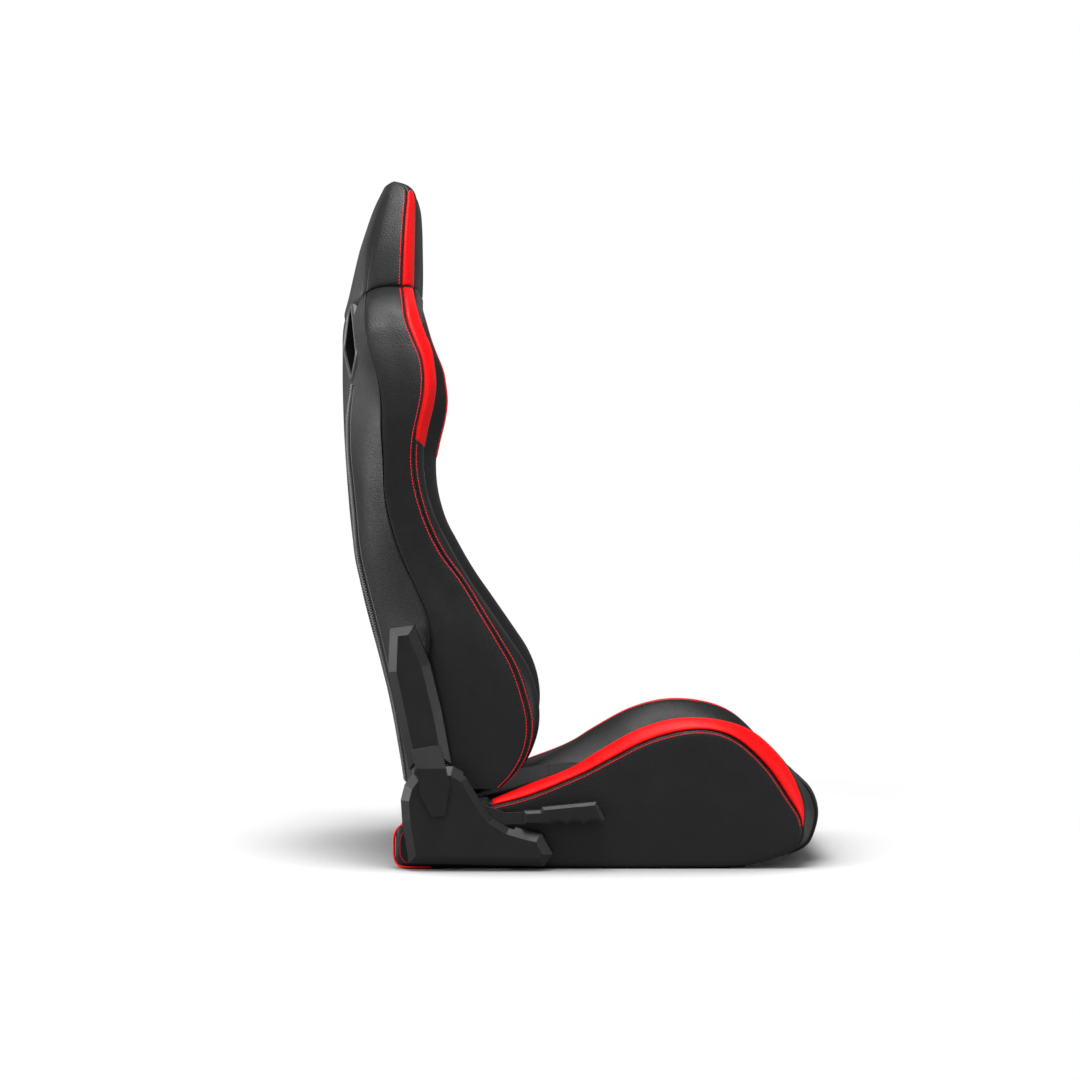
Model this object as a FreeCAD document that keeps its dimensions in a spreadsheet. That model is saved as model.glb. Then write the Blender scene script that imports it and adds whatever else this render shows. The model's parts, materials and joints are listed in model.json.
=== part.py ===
import FreeCAD, Part
import math
import os
import Sketcher

# A reclining racing seat with a padded bucket base and a winged, harness-slotted backrest.
# Frame: X forward, Y to the seat's left, Z up. Origin: centre of the four mounting holes, on the
# plane of the channels' undersides. Distances named near, far, rim, edge and face are measured
# outwards from the seat's middle plane, so that one function makes both hands.

V = FreeCAD.Vector
RIGHT, LEFT = -1, 1
HANDS = (("right", RIGHT), ("left", LEFT))

doc = FreeCAD.newDocument("racing_seat")
sheet = doc.addObject("Spreadsheet::Sheet", "dims")

DIMENSIONS = (
    ("pivot_x", -234, "recline axis, behind the mounting centre"),
    ("pivot_z", 102, "recline axis, above the mounting plane"),
    ("seat_half", 249.5, "half width of the seat pad"),
    ("seat_wall", 14, "thickness of the seat's side wall"),
    ("back_half", 243, "half width of the backrest at the hinge"),
    ("shoulder_half", 262, "half width of the backrest at the wings"),
    ("tube_radius", 11, "seat frame tube"),
    ("tube_z", 42, "height of the seat frame's centre line"),
    ("frame_half", 205, "seat frame, side tubes from the middle plane"),
    ("frame_front", 215, "seat frame, front tube"),
    ("frame_rear", -258, "seat frame, rear tube"),
    ("frame_bend", 40, "seat frame, bend radius"),
    ("back_tube_radius", 9, "backrest hoop tube"),
    ("back_bend", 45, "backrest hoop, bend radius"),
    ("arm_near", 250, "upper recliner arm, inner face"),
    ("arm_far", 254, "upper recliner arm, outer face"),
    ("disc_split", 260, "where the moving and the fixed recliner halves meet"),
    ("plate_near", 266, "lower recliner plate, inner face"),
    ("plate_far", 270, "lower recliner plate, outer face"),
    ("lever_near", 272, "release lever, inner face"),
    ("lever_far", 275, "release lever, outer face"),
    ("notch_far", 276.8, "lower cover, how far out its notch for the lever reaches"),
    ("grip_near", 262, "lever's grip, inner face"),
    ("grip_far", 283, "lever's grip, outer face"),
    ("grip_bevel", 4, "bevel round the lever's grip"),
    ("disc_radius", 32, "recliner disc"),
    ("rod_radius", 5, "release rod across the seat"),
    ("rod_bore", 6.1, "holes with eight flats that the release rod passes through"),
    ("clip_thick", 1.5, "push-on clips of the release rod"),
    ("clip_radius", 9, "push-on clips, corner radius"),
    ("lower_rim", 256, "lower cover, inner edge of its walls"),
    ("lower_edge", 274, "lower cover, where the bevel starts"),
    ("lower_face", 284, "lower cover, outer face"),
    ("upper_rim", 246, "upper cover, inner edge of its walls"),
    ("upper_edge", 269, "upper cover, where the bevel starts"),
    ("upper_face", 279, "upper cover, outer face"),
    ("tongue_near", 285.5, "upper cover's tongue, inner face"),
    ("tongue_far", 290, "upper cover's tongue, outer face"),
    ("cover_bevel", 11.5, "width of the covers' bevels on their faces"),
    ("cover_skin", 2.5, "wall thickness of the moulded covers"),
    ("cover_room", 1, "room inside the covers, and how deep their pegs reach in"),
    ("mount_x", 165, "mounting holes, fore and aft of the origin"),
    ("mount_y", 200, "mounting holes, to each side of the origin"),
    ("mount_hole", 4.5, "mounting hole radius in the channels"),
    ("nut_radius", 7.5, "weld nut, corner radius"),
    ("nut_bore", 4.4, "weld nut bore, corner radius of its eight flats"),
    ("nut_height", 6.5, "weld nut height"),
    ("channel_width", 44, "mounting channel, fore-and-aft width"),
    ("channel_height", 31, "mounting channel height, up to the side tubes"),
    ("channel_wall", 3, "mounting channel wall"),
    ("channel_half", 226, "mounting channel, half length"),
    ("skin", 5, "rear panel thickness"),
    ("strap_width", 50, "suspension strap width"),
    ("strap_thick", 2.5, "suspension strap thickness"),
    ("bolt_radius", 5, "recliner bolt shank"),
    ("bolt_head", 6.4, "recliner bolt head height"),
    ("spacer_radius", 10, "threaded spacers on the frames"),
    ("slot_rim", 5, "harness slot surround, how far its rim lies outside the slot's outline"),
    ("slot_lip", 2, "harness slot surround, how far its sleeve lies inside the outline"),
    ("pipe_radius", 2, "piping round the seat's rear edges"),
)
for row, (alias, value, note) in enumerate(DIMENSIONS, 1):
    sheet.set(f"A{row}", note)
    sheet.set(f"B{row}", str(value))
    sheet.setAlias(f"B{row}", alias)
doc.recompute()


def dim(alias):
    return float(sheet.get(alias))


PIVOT = ("dims.pivot_x", "dims.pivot_z")
ORIGIN = ("0", "0")
subparts = {}


def keep(label, thing):
    """Names a finished object; the label is also its file's name."""
    thing.Label = label
    subparts[label] = thing
    return thing


def made(label, shape):
    """A sub-part whose shape is worked out here from the sheet."""
    thing = doc.addObject("Part::Feature", label)
    thing.Shape = shape
    thing.Placement = FreeCAD.Placement()
    return keep(label, thing)


def start_sketch(body, plane, offset):
    """A sketch on one of the body's own planes, moved along its normal by an expression."""
    sketch = body.newObject("Sketcher::SketchObject", body.Name + "_sketch")
    support = [f for f in body.Origin.OriginFeatures if f.Role == plane][0]
    sketch.AttachmentSupport = [(support, "")]
    sketch.MapMode = "FlatFace"
    sketch.setExpression("AttachmentOffset.Base.z", offset)
    return sketch


def number(expression):
    """What an expression of the sheet's cells comes to."""
    return float(sheet.evalExpression(expression.replace("dims.", "")))


def pin(sketch, geometry, place, point, origin, kinds=("DistanceX", "DistanceY")):
    """Ties a sketch point to the sheet: the origin's expression plus the point's own offset."""
    for kind, own, datum in zip(("DistanceX", "DistanceY"), point, origin):
        if kind in kinds:
            rule = Sketcher.Constraint(kind, -1, 1, geometry, place, number(datum) + own)
            name = sketch.addConstraint(rule)
            sketch.setExpression(f"Constraints[{name}]", f"{datum} + ({own})")


def add_outline(sketch, points, origin=ORIGIN):
    """A closed outline. (a, b) is a corner and (a, b, 1) the middle of an arc between two corners."""
    ox, oz = [number(datum) for datum in origin]
    corners = [i for i, p in enumerate(points) if len(p) == 2]
    ends = []
    for n, i in enumerate(corners):
        j = corners[(n + 1) % len(corners)]
        a, b = [V(ox + points[k][0], oz + points[k][1], 0) for k in (i, j)]
        if (i + 1) % len(points) == j:
            ends.append((sketch.addGeometry(Part.LineSegment(a, b), False), 1, 2))
            continue
        via = points[(i + 1) % len(points)]
        m = V(ox + via[0], oz + via[1], 0)
        arc = sketch.addGeometry(Part.Arc(a, m, b), False)
        clockwise = (m - a).cross(b - m).z < 0
        ends.append((arc, 2, 1) if clockwise else (arc, 1, 2))
        centre = sketch.Geometry[arc].Center
        own = (round(centre.x - ox, 6), round(centre.y - oz, 6))
        free = "DistanceY" if abs(b.x - a.x) > abs(b.y - a.y) else "DistanceX"
        pin(sketch, arc, 3, own, origin, (free,))
    for n, (geometry, first, _) in enumerate(ends):
        before, _, last = ends[n - 1]
        sketch.addConstraint(Sketcher.Constraint("Coincident", before, last, geometry, first))
        pin(sketch, geometry, first, points[corners[n]][:2], origin)


def add_circle(sketch, centre, radius, origin=ORIGIN):
    ox, oz = [number(datum) for datum in origin]
    circle = Part.Circle(V(ox + centre[0], oz + centre[1], 0), V(0, 0, 1), number(radius))
    ring = sketch.addGeometry(circle, False)
    pin(sketch, ring, 3, centre, origin)
    name = sketch.addConstraint(Sketcher.Constraint("Radius", ring, number(radius)))
    sketch.setExpression(f"Constraints[{name}]", radius)


def add_flats(sketch, centre, radius, sides, origin):
    """A hole, peg or disc drawn with flats, which keeps the many small round things light."""
    size = number(radius)
    turns = [2 * math.pi * (k + 0.5) / sides for k in range(sides)]
    ring = [(centre[0] + size * math.cos(a), centre[1] + size * math.sin(a)) for a in turns]
    add_outline(sketch, [(round(a, 4), round(b, 4)) for a, b in ring], origin)


def new_body(name):
    return doc.addObject("PartDesign::Body", name)


def pad(body, sketch, length):
    feature = body.newObject("PartDesign::Pad", body.Name + "_pad")
    feature.Profile = sketch
    feature.setExpression("Length", length)
    return feature


def pocket(body, sketch, length):
    """Cuts from the sketch towards its normal, which is away from the seat's middle on the right."""
    feature = body.newObject("PartDesign::Pocket", body.Name + "_pocket")
    feature.Profile = sketch
    feature.Reversed = True
    feature.setExpression("Length", length)
    return feature


def side_offset(hand, near, far):
    """Where the sketch of a layer from near to far lies, as the sketch's own offset."""
    return near if hand == RIGHT else f"-({far})"


def layer(body, hand, near, far, outlines=(), circles=(), flats=(), cut=False):
    """One flat layer of a side part, from its near to its far distance, padded or cut."""
    sketch = start_sketch(body, "XZ_Plane", side_offset(hand, near, far))
    for points in outlines:
        add_outline(sketch, points, PIVOT)
    for centre, radius in circles:
        add_circle(sketch, centre, radius, PIVOT)
    for centre, radius, sides in flats:
        add_flats(sketch, centre, radius, sides, PIVOT)
    return (pocket if cut else pad)(body, sketch, f"({far}) - ({near})")


def bevel(body, hand, far, depth, width):
    """Bevels the rim of the outermost face: so deep along Y and so wide on the face."""
    doc.recompute()
    tip, level = body.Tip, hand * number(far)
    rim = [
        f"Edge{n}"
        for n, edge in enumerate(tip.Shape.Edges, 1)
        if all(abs(v.Point.y - level) < 1e-4 for v in edge.Vertexes)
    ]
    feature = body.newObject("PartDesign::Chamfer", body.Name + "_bevel")
    feature.Base = (tip, rim)
    feature.ChamferType = "Two distances"
    feature.setExpression("Size", depth)
    feature.setExpression("Size2", width)


def inset(points, depth):
    """The outline moved inwards by a depth, or outwards by a negative one. It may run either way."""
    area = sum(
        a[0] * b[1] - b[0] * a[1] for a, b in zip(points, points[1:] + points[:1])
    )
    turn = 1 if area > 0 else -1
    moved = []
    for n, point in enumerate(points):
        before, after = points[n - 1], points[(n + 1) % len(points)]
        normals = []
        for a, b in ((before, point), (point, after)):
            run = math.hypot(b[0] - a[0], b[1] - a[1])
            normals.append((-turn * (b[1] - a[1]) / run, turn * (b[0] - a[0]) / run))
        (px, py), (qx, qy) = normals
        share = depth / (1 + px * qx + py * qy)
        spot = (point[0] + share * (px + qx), point[1] + share * (py + qy))
        moved.append(spot + tuple(point[2:]))
    return moved


def flat_bar(hand, x, z, near, far, radius, sides):
    """A bar across the seat with a regular many-sided section, its corners at the radius."""
    turns = [2 * math.pi * (k + 0.5) / sides for k in range(sides)]
    ring = [V(x + radius * math.cos(a), hand * near, z + radius * math.sin(a)) for a in turns]
    return Part.Face(Part.makePolygon(ring + ring[:1])).extrude(V(0, hand * (far - near), 0))


def hex_bolt(hand, x, z, seat, length):
    """A hexagon bolt whose head seats at a distance and whose shank runs inwards."""
    radius = dim("bolt_radius")
    head = flat_bar(hand, x, z, seat, seat + dim("bolt_head"), radius * 1.85, 6)
    shank = flat_bar(hand, x, z, seat - length, seat, radius - 0.1, 8)
    return head.fuse(shank)


# The seat frame: a closed tube hoop on two pressed channels, with spacers for the recliner plates.

PLATE_BOLTS = ((29, -60), (112, -66))
ARM_BOLTS = ((-15, 88), (-27, 178))
PLATE_BORE, ARM_BORE = 32, 25
BEND_STEPS = 4


def block(x, y, z):
    """A box from three pairs of limits."""
    return Part.makeBox(x[1] - x[0], y[1] - y[0], z[1] - z[0], V(x[0], y[0], z[0]))


def rounded_path(corners, radius):
    """Straight runs joined by tangent arcs of one bend radius."""
    ends = [(corners[0], None, corners[0])]
    for before, corner, after in zip(corners, corners[1:], corners[2:]):
        into, out = (corner - before).normalize(), (after - corner).normalize()
        half = math.acos(into.dot(out)) / 2
        back = radius * math.tan(half)
        middle = (out - into).normalize() * (radius / math.cos(half) - radius)
        ends.append((corner - into * back, corner + middle, corner + out * back))
    ends.append((corners[-1], None, corners[-1]))
    edges = []
    for (start, via, leave), (enter, _, _) in zip(ends, ends[1:]):
        if via is not None:
            edges.append(Part.Arc(start, via, leave).toShape())
        edges.append(Part.makeLine(leave, enter))
    return Part.Wire(edges)


def tube(path, radius, sides=8):
    """A tube along a path that starts with a straight run; its bends are mitred in short steps."""
    dots = [path.Edges[0].valueAt(path.Edges[0].FirstParameter)]
    for edge in path.Edges:
        steps = 2 if edge.Curve.TypeId == "Part::GeomLine" else BEND_STEPS + 1
        dots += edge.discretize(steps)[1:]
    turn = FreeCAD.Rotation(V(0, 0, 1), dots[1] - dots[0])
    ring = []
    for k in range(sides):
        angle = 2 * math.pi * (k + 0.5) / sides
        ring.append(dots[0] + turn.multVec(V(radius * math.cos(angle), radius * math.sin(angle), 0)))
    rings = [ring]
    runs = [(after - before).normalize() for before, after in zip(dots, dots[1:])]
    for dot, along, onward in zip(dots[1:], runs, runs[1:] + runs[-1:]):
        mitre = (along + onward).normalize()
        rings.append([p + along * ((dot - p).dot(mitre) / along.dot(mitre)) for p in rings[-1]])
    faces = [Part.Face(Part.makePolygon(end + end[:1])) for end in (rings[0], rings[-1])]
    for low, high in zip(rings, rings[1:]):
        for k in range(sides):
            quad = [low[k - 1], low[k], high[k], high[k - 1], low[k - 1]]
            faces.append(Part.Face(Part.makePolygon(quad)))
    solid = Part.makeSolid(Part.makeShell(faces))
    return solid if solid.Volume > 0 else solid.reversed()


def base_frame():
    """Square side tubes, round cross tubes between them, and the spacers welded outside."""
    half, front, rear = dim("frame_half"), dim("frame_front"), dim("frame_rear")
    z, size = dim("tube_z"), dim("tube_radius")
    pieces, bores = [], []
    for _, hand in HANDS:
        inner, outer = sorted((hand * (half - size), hand * (half + size)))
        pieces.append(block((rear - size, front + size), (inner, outer), (z - size, z + size)))
        for a, b in PLATE_BOLTS:
            x, up, far = dim("pivot_x") + a, dim("pivot_z") + b, dim("plate_near")
            pieces.append(flat_bar(hand, x, up, half + size, far, dim("spacer_radius"), 6))
            bores.append(flat_bar(hand, x, up, far - PLATE_BORE, far + 1, dim("bolt_radius"), 8))
    for x in (rear, front):
        span = 2 * (half - size)
        pieces.append(Part.makeCylinder(size, span, V(x, -span / 2, z), V(0, 1, 0)))
    return pieces[0].fuse(pieces[1:]).cut(bores)


def mount_channel(label, x):
    """A pressed U channel, open above, with a foot flange each side and two mounting holes."""
    width, height = dim("channel_width"), dim("channel_height")
    wall, half = dim("channel_wall"), dim("channel_half")
    body = new_body(label)
    sketch = start_sketch(body, "XZ_Plane", "-dims.channel_half")
    inner = width / 2 - wall
    add_outline(
        sketch,
        [(-width / 2, 0), (width / 2, 0), (width / 2, height), (inner, height)]
        + [(inner, wall), (-inner, wall), (-inner, height), (-width / 2, height)],
        (x, "0"),
    )
    pad(body, sketch, "2 * dims.channel_half")
    holes = start_sketch(body, "XY_Plane", "0")
    for y in ("-dims.mount_y", "dims.mount_y"):
        add_circle(holes, (0, 0), "dims.mount_hole", (x, y))
    pocket(body, holes, "dims.channel_wall")
    keep(label, body)


def upright_bar(x, y, low, high, radius, sides):
    """The same kind of bar standing upright."""
    turns = [2 * math.pi * (k + 0.5) / sides for k in range(sides)]
    ring = [V(x + radius * math.cos(a), y + radius * math.sin(a), low) for a in turns]
    return Part.Face(Part.makePolygon(ring + ring[:1])).extrude(V(0, 0, high - low))


def weld_nuts():
    """Four hexagonal weld nuts on the channels' floors, over the mounting holes."""
    low = dim("channel_wall")
    high = low + dim("nut_height")
    nuts = []
    for x in (-dim("mount_x"), dim("mount_x")):
        for y in (-dim("mount_y"), dim("mount_y")):
            nut = upright_bar(x, y, low, high, dim("nut_radius"), 6)
            nuts.append(nut.cut(upright_bar(x, y, low, high, dim("nut_bore"), 8)))
    return Part.makeCompound(nuts)


STRAP_X = (-170, -95, -20, 55, 130)
STRAP_Z = (228, 318, 402, 488)
STRAP_ROOM, STRAP_SEAT, HOOP_ROOM = 5, 0.6, 2.5


def seat_straps():
    """Elastic straps across the seat frame, lying on its side tubes."""
    low = dim("tube_z") + dim("tube_radius")
    half = dim("frame_half") + dim("tube_radius") - 2
    straps = [
        Part.makeBox(dim("strap_width"), 2 * half, dim("strap_thick"), V(x, -half, low))
        for x in STRAP_X
    ]
    return Part.makeCompound(straps)


# The backrest frame: one hoop, bent in at the shoulders and up into the headrest.

HOOP = (
    (-238, 205, 125),
    (-294, 205, 430),
    (-314, 203, 560),
    (-334, 88, 640),
    (-300, 70, 888),
)


CROSS_Z, CROSS_RADIUS = 150, 8


def hoop_x(z):
    """Where the straight lower uprights are at a height."""
    (x0, _, z0), (x1, _, z1) = HOOP[:2]
    if z > z1:
        (x0, _, z0), (x1, _, z1) = HOOP[1:3]
    return x0 + (x1 - x0) * (z - z0) / (z1 - z0)


def backrest_frame():
    right = [V(x, -y, z) for x, y, z in HOOP]
    left = [V(x, y, z) for x, y, z in reversed(HOOP)]
    radius = dim("back_tube_radius")
    hoop = tube(rounded_path(right + left, dim("back_bend")), radius)
    y, z = HOOP[0][1], CROSS_Z
    parts = [Part.makeCylinder(CROSS_RADIUS, 2 * y, V(hoop_x(z), -y, z), V(0, 1, 0))]
    bores = []
    for _, hand in HANDS:
        for a, b in ARM_BOLTS:
            x, z, far = dim("pivot_x") + a, dim("pivot_z") + b, dim("arm_near")
            parts.append(flat_bar(hand, x, z, y + radius / 2, far, dim("spacer_radius"), 6))
            bores.append(flat_bar(hand, x, z, far - ARM_BORE, far + 1, dim("bolt_radius"), 8))
    return hoop.fuse(parts).cut(bores)


def backrest_straps():
    """Elastic straps across the uprights, leaning with them."""
    straps = []
    half = HOOP[0][1] + dim("back_tube_radius") - 2
    for z in STRAP_Z:
        low, high = z - dim("strap_width") / 2, z + dim("strap_width") / 2
        front = dim("back_tube_radius") + STRAP_SEAT
        bottom, top = hoop_x(low) + front, hoop_x(high) + front
        thick = dim("strap_thick")
        ring = [V(bottom, -half, low), V(bottom + thick, -half, low)]
        ring += [V(top + thick, -half, high), V(top, -half, high), V(bottom, -half, low)]
        straps.append(Part.Face(Part.makePolygon(ring)).extrude(V(0, 2 * half, 0)))
    return Part.makeCompound(straps)


# The recliner. Outlines are offsets from the pivot, forward and up.

ARM = [(-29.5, 12.4), (-24, 45), (-46, 150), (-50, 205), (-20, 205), (-4, 150), (14, 60)]
ARM += [(29.5, 12.4), (0, -32, 1)]
PLATE = [(-34, 0), (0, 34, 1), (34, 0), (58, -40), (108, -51), (128, -53.5)]
PLATE += [(136, -66), (130, -82), (-24, -84), (-33, -40)]
LOWER_EDGE = [(-31, -91.5), (-40, -37), (-42, -7), (-37, 13), (-25, 29), (-8, 38.5), (28, 38)]
LOWER_EDGE += [(48, 26), (68, -8), (83, -28), (104, -41), (131, -49), (146, -52), (161, -79.5)]
LOWER_EDGE += [(149, -95.5)]
LEVER_NOTCH = [(42, 30), (76, 32), (116, -36), (106, -52), (76, -46), (38, -6)]
UPPER_EDGE = [(-31, 33), (-59, 163.5), (-56.6, 222), (-24.5, 226), (-3, 174), (12, 113)]
UPPER_EDGE += [(25.5, 41)]
ARM_WAY = [(-27.5, 28), (21.5, 28), (21.5, 50), (-27.5, 50)]
RELIEF = [(-60, -60), (60, -60), (60, 40.3), (-22, 40.3), (-27.5, 34.2), (-60, 31)]
BOLT_HEAD_INSET, DEEP_INSET = 8, 0.5
TONGUE = [(-28, 60), (-19.5, 32), (-15.5, 1), (0, -28), (18, -27), (20, -10), (24, 12), (19, 37)]
TONGUE += [(11, 67)]
LOWER_PEGS = ((-14, -60), (84, -64))
UPPER_PEGS = ((-22, 122), (-38, 200))
RAMP = [(0, 66), (11, 36), (20, 36), (20, 80), (0, 80)]
RAMP_REACH = 60
LEVER = [(-4, -12.4), (92, -40), (124, -39), (215, -33), (218, -18), (120, -23), (97, -24), (4, 12.4)]
LEVER += [(-13, 0, 1)]
GRIP = [(122, -40), (122, -21), (144, -20), (147, -16), (219, -9), (231, -33), (226, -38), (214, -34, 1)]
GRIP += [(202, -39), (190, -35, 1), (178, -40), (166, -36, 1), (154, -40.5)]


ROD_HOLE = ((0, 0), "dims.rod_bore", 8)


def bolt_sized(places):
    """Bolt holes, or pegs of the same size, each as its centre, radius and number of flats."""
    return [(place, "dims.bolt_radius", 8) for place in places]


def lower_plate(label, hand):
    body = new_body(label)
    holes = [ROD_HOLE] + bolt_sized(PLATE_BOLTS)
    layer(body, hand, "dims.plate_near", "dims.plate_far", [PLATE], flats=holes)
    keep(label, body)


def upper_arm(label, hand):
    body = new_body(label)
    holes = [ROD_HOLE] + bolt_sized(ARM_BOLTS)
    layer(body, hand, "dims.arm_near", "dims.arm_far", [ARM], flats=holes)
    keep(label, body)


def recliner_halves(label, near, far):
    """The sealed halves of the disc recliners that one body carries, one at each side."""
    body = new_body(label)
    for _, hand in HANDS:
        layer(body, hand, near, far, flats=[((0, 0), "dims.disc_radius", 24), ROD_HOLE])
    keep(label, body)


def lower_cover(label, hand):
    """The moulded cover over the lower plate: a bevelled shell with pegs, open towards the seat."""
    body = new_body(label)
    layer(body, hand, "dims.lower_rim", "dims.lower_face", [LOWER_EDGE])
    bevel(body, hand, "dims.lower_face", "dims.lower_face - dims.lower_edge", "dims.cover_bevel")
    skin = dim("cover_skin")
    layer(body, hand, "dims.lower_rim", "dims.lower_edge", [inset(LOWER_EDGE, skin)], cut=True)
    heads, behind_heads = inset(LOWER_EDGE, BOLT_HEAD_INSET), "dims.plate_far + dims.bolt_head"
    layer(body, hand, "dims.lower_rim", behind_heads + " + dims.cover_room", [heads], cut=True)
    deep = inset(LOWER_EDGE, dim("cover_bevel") + DEEP_INSET)
    layer(body, hand, "dims.lower_rim", "dims.lower_face - dims.cover_skin", [deep], cut=True)
    if hand == RIGHT:
        layer(body, hand, "dims.lower_rim", "dims.notch_far", [LEVER_NOTCH], cut=True)
    pegs = bolt_sized(LOWER_PEGS)
    layer(body, hand, "dims.plate_far", "dims.lower_face - dims.cover_room", flats=pegs)
    keep(label, body)


def upper_cover(label, hand):
    """The moulded cover over the arm, with a tongue that laps outside the lower cover."""
    body = new_body(label)
    layer(body, hand, "dims.upper_rim", "dims.upper_face", [UPPER_EDGE])
    bevel(body, hand, "dims.upper_face", "dims.upper_face - dims.upper_edge", "dims.cover_bevel")
    layer(body, hand, "dims.upper_edge + dims.cover_room", "dims.tongue_far", [TONGUE])
    ramp = start_sketch(body, "YZ_Plane", f"dims.pivot_x - {RAMP_REACH}")
    mirrored = [(hand * a, b) for a, b in RAMP]
    add_outline(ramp, mirrored, (f"{hand} * dims.upper_face", "dims.pivot_z"))
    pocket(body, ramp, f"2 * {RAMP_REACH}")
    skin = dim("cover_skin")
    layer(body, hand, "dims.upper_rim", "dims.upper_edge", [inset(UPPER_EDGE, skin)], cut=True)
    layer(body, hand, "dims.upper_rim", "dims.upper_edge", [ARM_WAY], cut=True)
    deep = inset(UPPER_EDGE, dim("cover_bevel") + DEEP_INSET)
    layer(body, hand, "dims.upper_rim", "dims.upper_face - dims.cover_skin", [deep], cut=True)
    layer(body, hand, "dims.upper_edge", "dims.tongue_near", [RELIEF], cut=True)
    pegs = bolt_sized(UPPER_PEGS)
    layer(body, hand, "dims.arm_far", "dims.upper_face - dims.cover_room", flats=pegs)
    keep(label, body)


def lever_arm(label):
    body = new_body(label)
    layer(body, RIGHT, "dims.lever_near", "dims.lever_far", [LEVER], [((0, 0), "dims.rod_radius")])
    keep(label, body)


def lever_grip(label):
    """The moulded grip, slotted over the end of the lever arm."""
    body = new_body(label)
    layer(body, RIGHT, "dims.grip_near", "dims.grip_far", [GRIP])
    bevel(body, RIGHT, "dims.grip_far", "dims.grip_bevel", "dims.grip_bevel")
    layer(body, RIGHT, "dims.lever_near", "dims.lever_far", [LEVER], cut=True)
    keep(label, body)


def release_rod():
    """The rod that carries the lever's turn to both recliners."""
    x, z = dim("pivot_x"), dim("pivot_z")
    far_right, far_left = dim("lever_far") + 4, dim("plate_far") + 4
    return Part.makeCylinder(dim("rod_radius"), far_right + far_left, V(x, -far_right, z), V(0, 1, 0))


def rod_clips():
    """Push-on clips that keep the rod from sliding, outside the lever and the left plate."""
    x, z = dim("pivot_x"), dim("pivot_z")
    clips = []
    for hand, near in ((RIGHT, dim("lever_far") + 0.3), (LEFT, dim("plate_far") + 0.5)):
        far = near + dim("clip_thick")
        plate = flat_bar(hand, x, z, near, far, dim("clip_radius"), 6)
        clips.append(plate.cut(flat_bar(hand, x, z, near, far, dim("rod_radius") + 0.5, 8)))
    return Part.makeCompound(clips)


def bolts(places, seat, length):
    """The hexagon bolts of both sides, each through its plate into a spacer."""
    x, z = dim("pivot_x"), dim("pivot_z")
    return Part.makeCompound(
        [hex_bolt(hand, x + a, z + b, seat, length) for _, hand in HANDS for a, b in places]
    )


# The soft forms: lofts across the seat through side profiles of lines and arcs. In each row of
# numbers every second place is the middle of an arc. Names ending in X, Y or Z hold one coordinate
# at each station, the harness slots' outline is seen from behind, and the two faces of a slot's
# surround are planes: x at the slot's centre, then its change per millimetre across and up.

BACK_LOW = 108.5
BACK_Z = (98, 152, 205, 275, 334, 415, 496, 540, 585, 654, 723, 755, 788)
CENTRE_X = (-161, -158, -164, -182, -205, -235, -258, -266, -271, -272, -266, -262, -258)
CREST_X = (-85, -86, -90, -108, -147, -202, -240, -248.5, -247, -231, -246, -257, -268)
REAR_Z = (98, 205, 334, 415, 540, 670, 788)
REAR_X = (-280, -298.5, -330, -349, -363, -369, -359)
FACET = (28, 38, 54, 58, 56, 52, 38)
FACET_START = 140
CREST_Y, VALLEY_Y, INNER_Y, EDGE_Y = 225, 150, 105, 262
SHARES = {0: (0, -2), INNER_Y: (0, -5), VALLEY_Y: (0, 8), CREST_Y: (1, 0), EDGE_Y: (1, 26)}
OUTLINE = [(243, 330), (239, 420, 1), (245, 500), (262, 620, 1), (250, 705), (215, 765, 1)]
OUTLINE += [(150, 792)]
TUCK = ((-88, 216), (-99, 161), (-146, 104))
INSERT = [(150, 600), (105, 660), (105, 788)]
SLOT = [(115, 754), (125, 766), (175, 699), (155, 665), (116, 709)]
SLOT_CENTRE, SLOT_GAP = (115, 709), 0.3
FRONT_FACE, REAR_FACE = (-263, 0, 0.1215), (-368.8, 0.19, 0.03)
BEHIND, BESIDE = -450, 300


def profile(xs, zs, y):
    """Profile points at one distance from the middle plane, every second one an arc's middle."""
    return [V(x, y, z) for x, z in zip(xs, zs)]


def edges_through(points):
    """Arcs through a row of points, three at a time."""
    return [Part.Arc(*points[k : k + 3]).toShape() for k in range(0, len(points) - 2, 2)]


def closed(rows):
    """A closed wire: each row is a run of arcs, or of two points and so a line; lines join the rows."""
    edges = []
    for n, row in enumerate(rows):
        edges += edges_through(row) if len(row) > 2 else [Part.makeLine(*row)]
        start, end = row[-1], rows[(n + 1) % len(rows)][0]
        if start.distanceToPoint(end) > 1e-6:
            edges.append(Part.makeLine(start, end))
    return Part.Wire(edges)


def loft(wires):
    return Part.makeLoft(wires, True, True)


def prism(half_outline, low, reach=900):
    """Everything between the mirrored halves of a front-view outline, above a height."""
    def place(y, z):
        return V(-reach / 2 - 200, y, z)

    first, last = half_outline[0], half_outline[-1]
    sides = []
    for hand in (1, -1):
        runs, k = [], 0
        while k < len(half_outline) - 1:
            via = len(half_outline[k + 1]) == 3
            ends = half_outline[k : k + 3] if via else half_outline[k : k + 2]
            dots = [place(hand * p[0], p[1]) for p in ends]
            runs.append(Part.Arc(*dots).toShape() if via else Part.makeLine(*dots))
            k += 2 if via else 1
        sides.append(runs)
    bottom = [place(first[0], low), place(-first[0], low)]
    base = [
        Part.makeLine(bottom[0], bottom[1]),
        Part.makeLine(bottom[0], place(*first[:2])),
        Part.makeLine(bottom[1], place(-first[0], first[1])),
        Part.makeLine(place(last[0], last[1]), place(-last[0], last[1])),
    ]
    wire = Part.Wire(Part.__sortEdges__(base + sides[0] + sides[1]))
    return Part.Face(wire).extrude(V(reach, 0, 0))


def front_row(y):
    share, drop = SHARES[abs(y)]
    xs = [c + share * (k - c) - drop for c, k in zip(CENTRE_X, CREST_X)]
    return profile(xs, BACK_Z, y)


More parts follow.
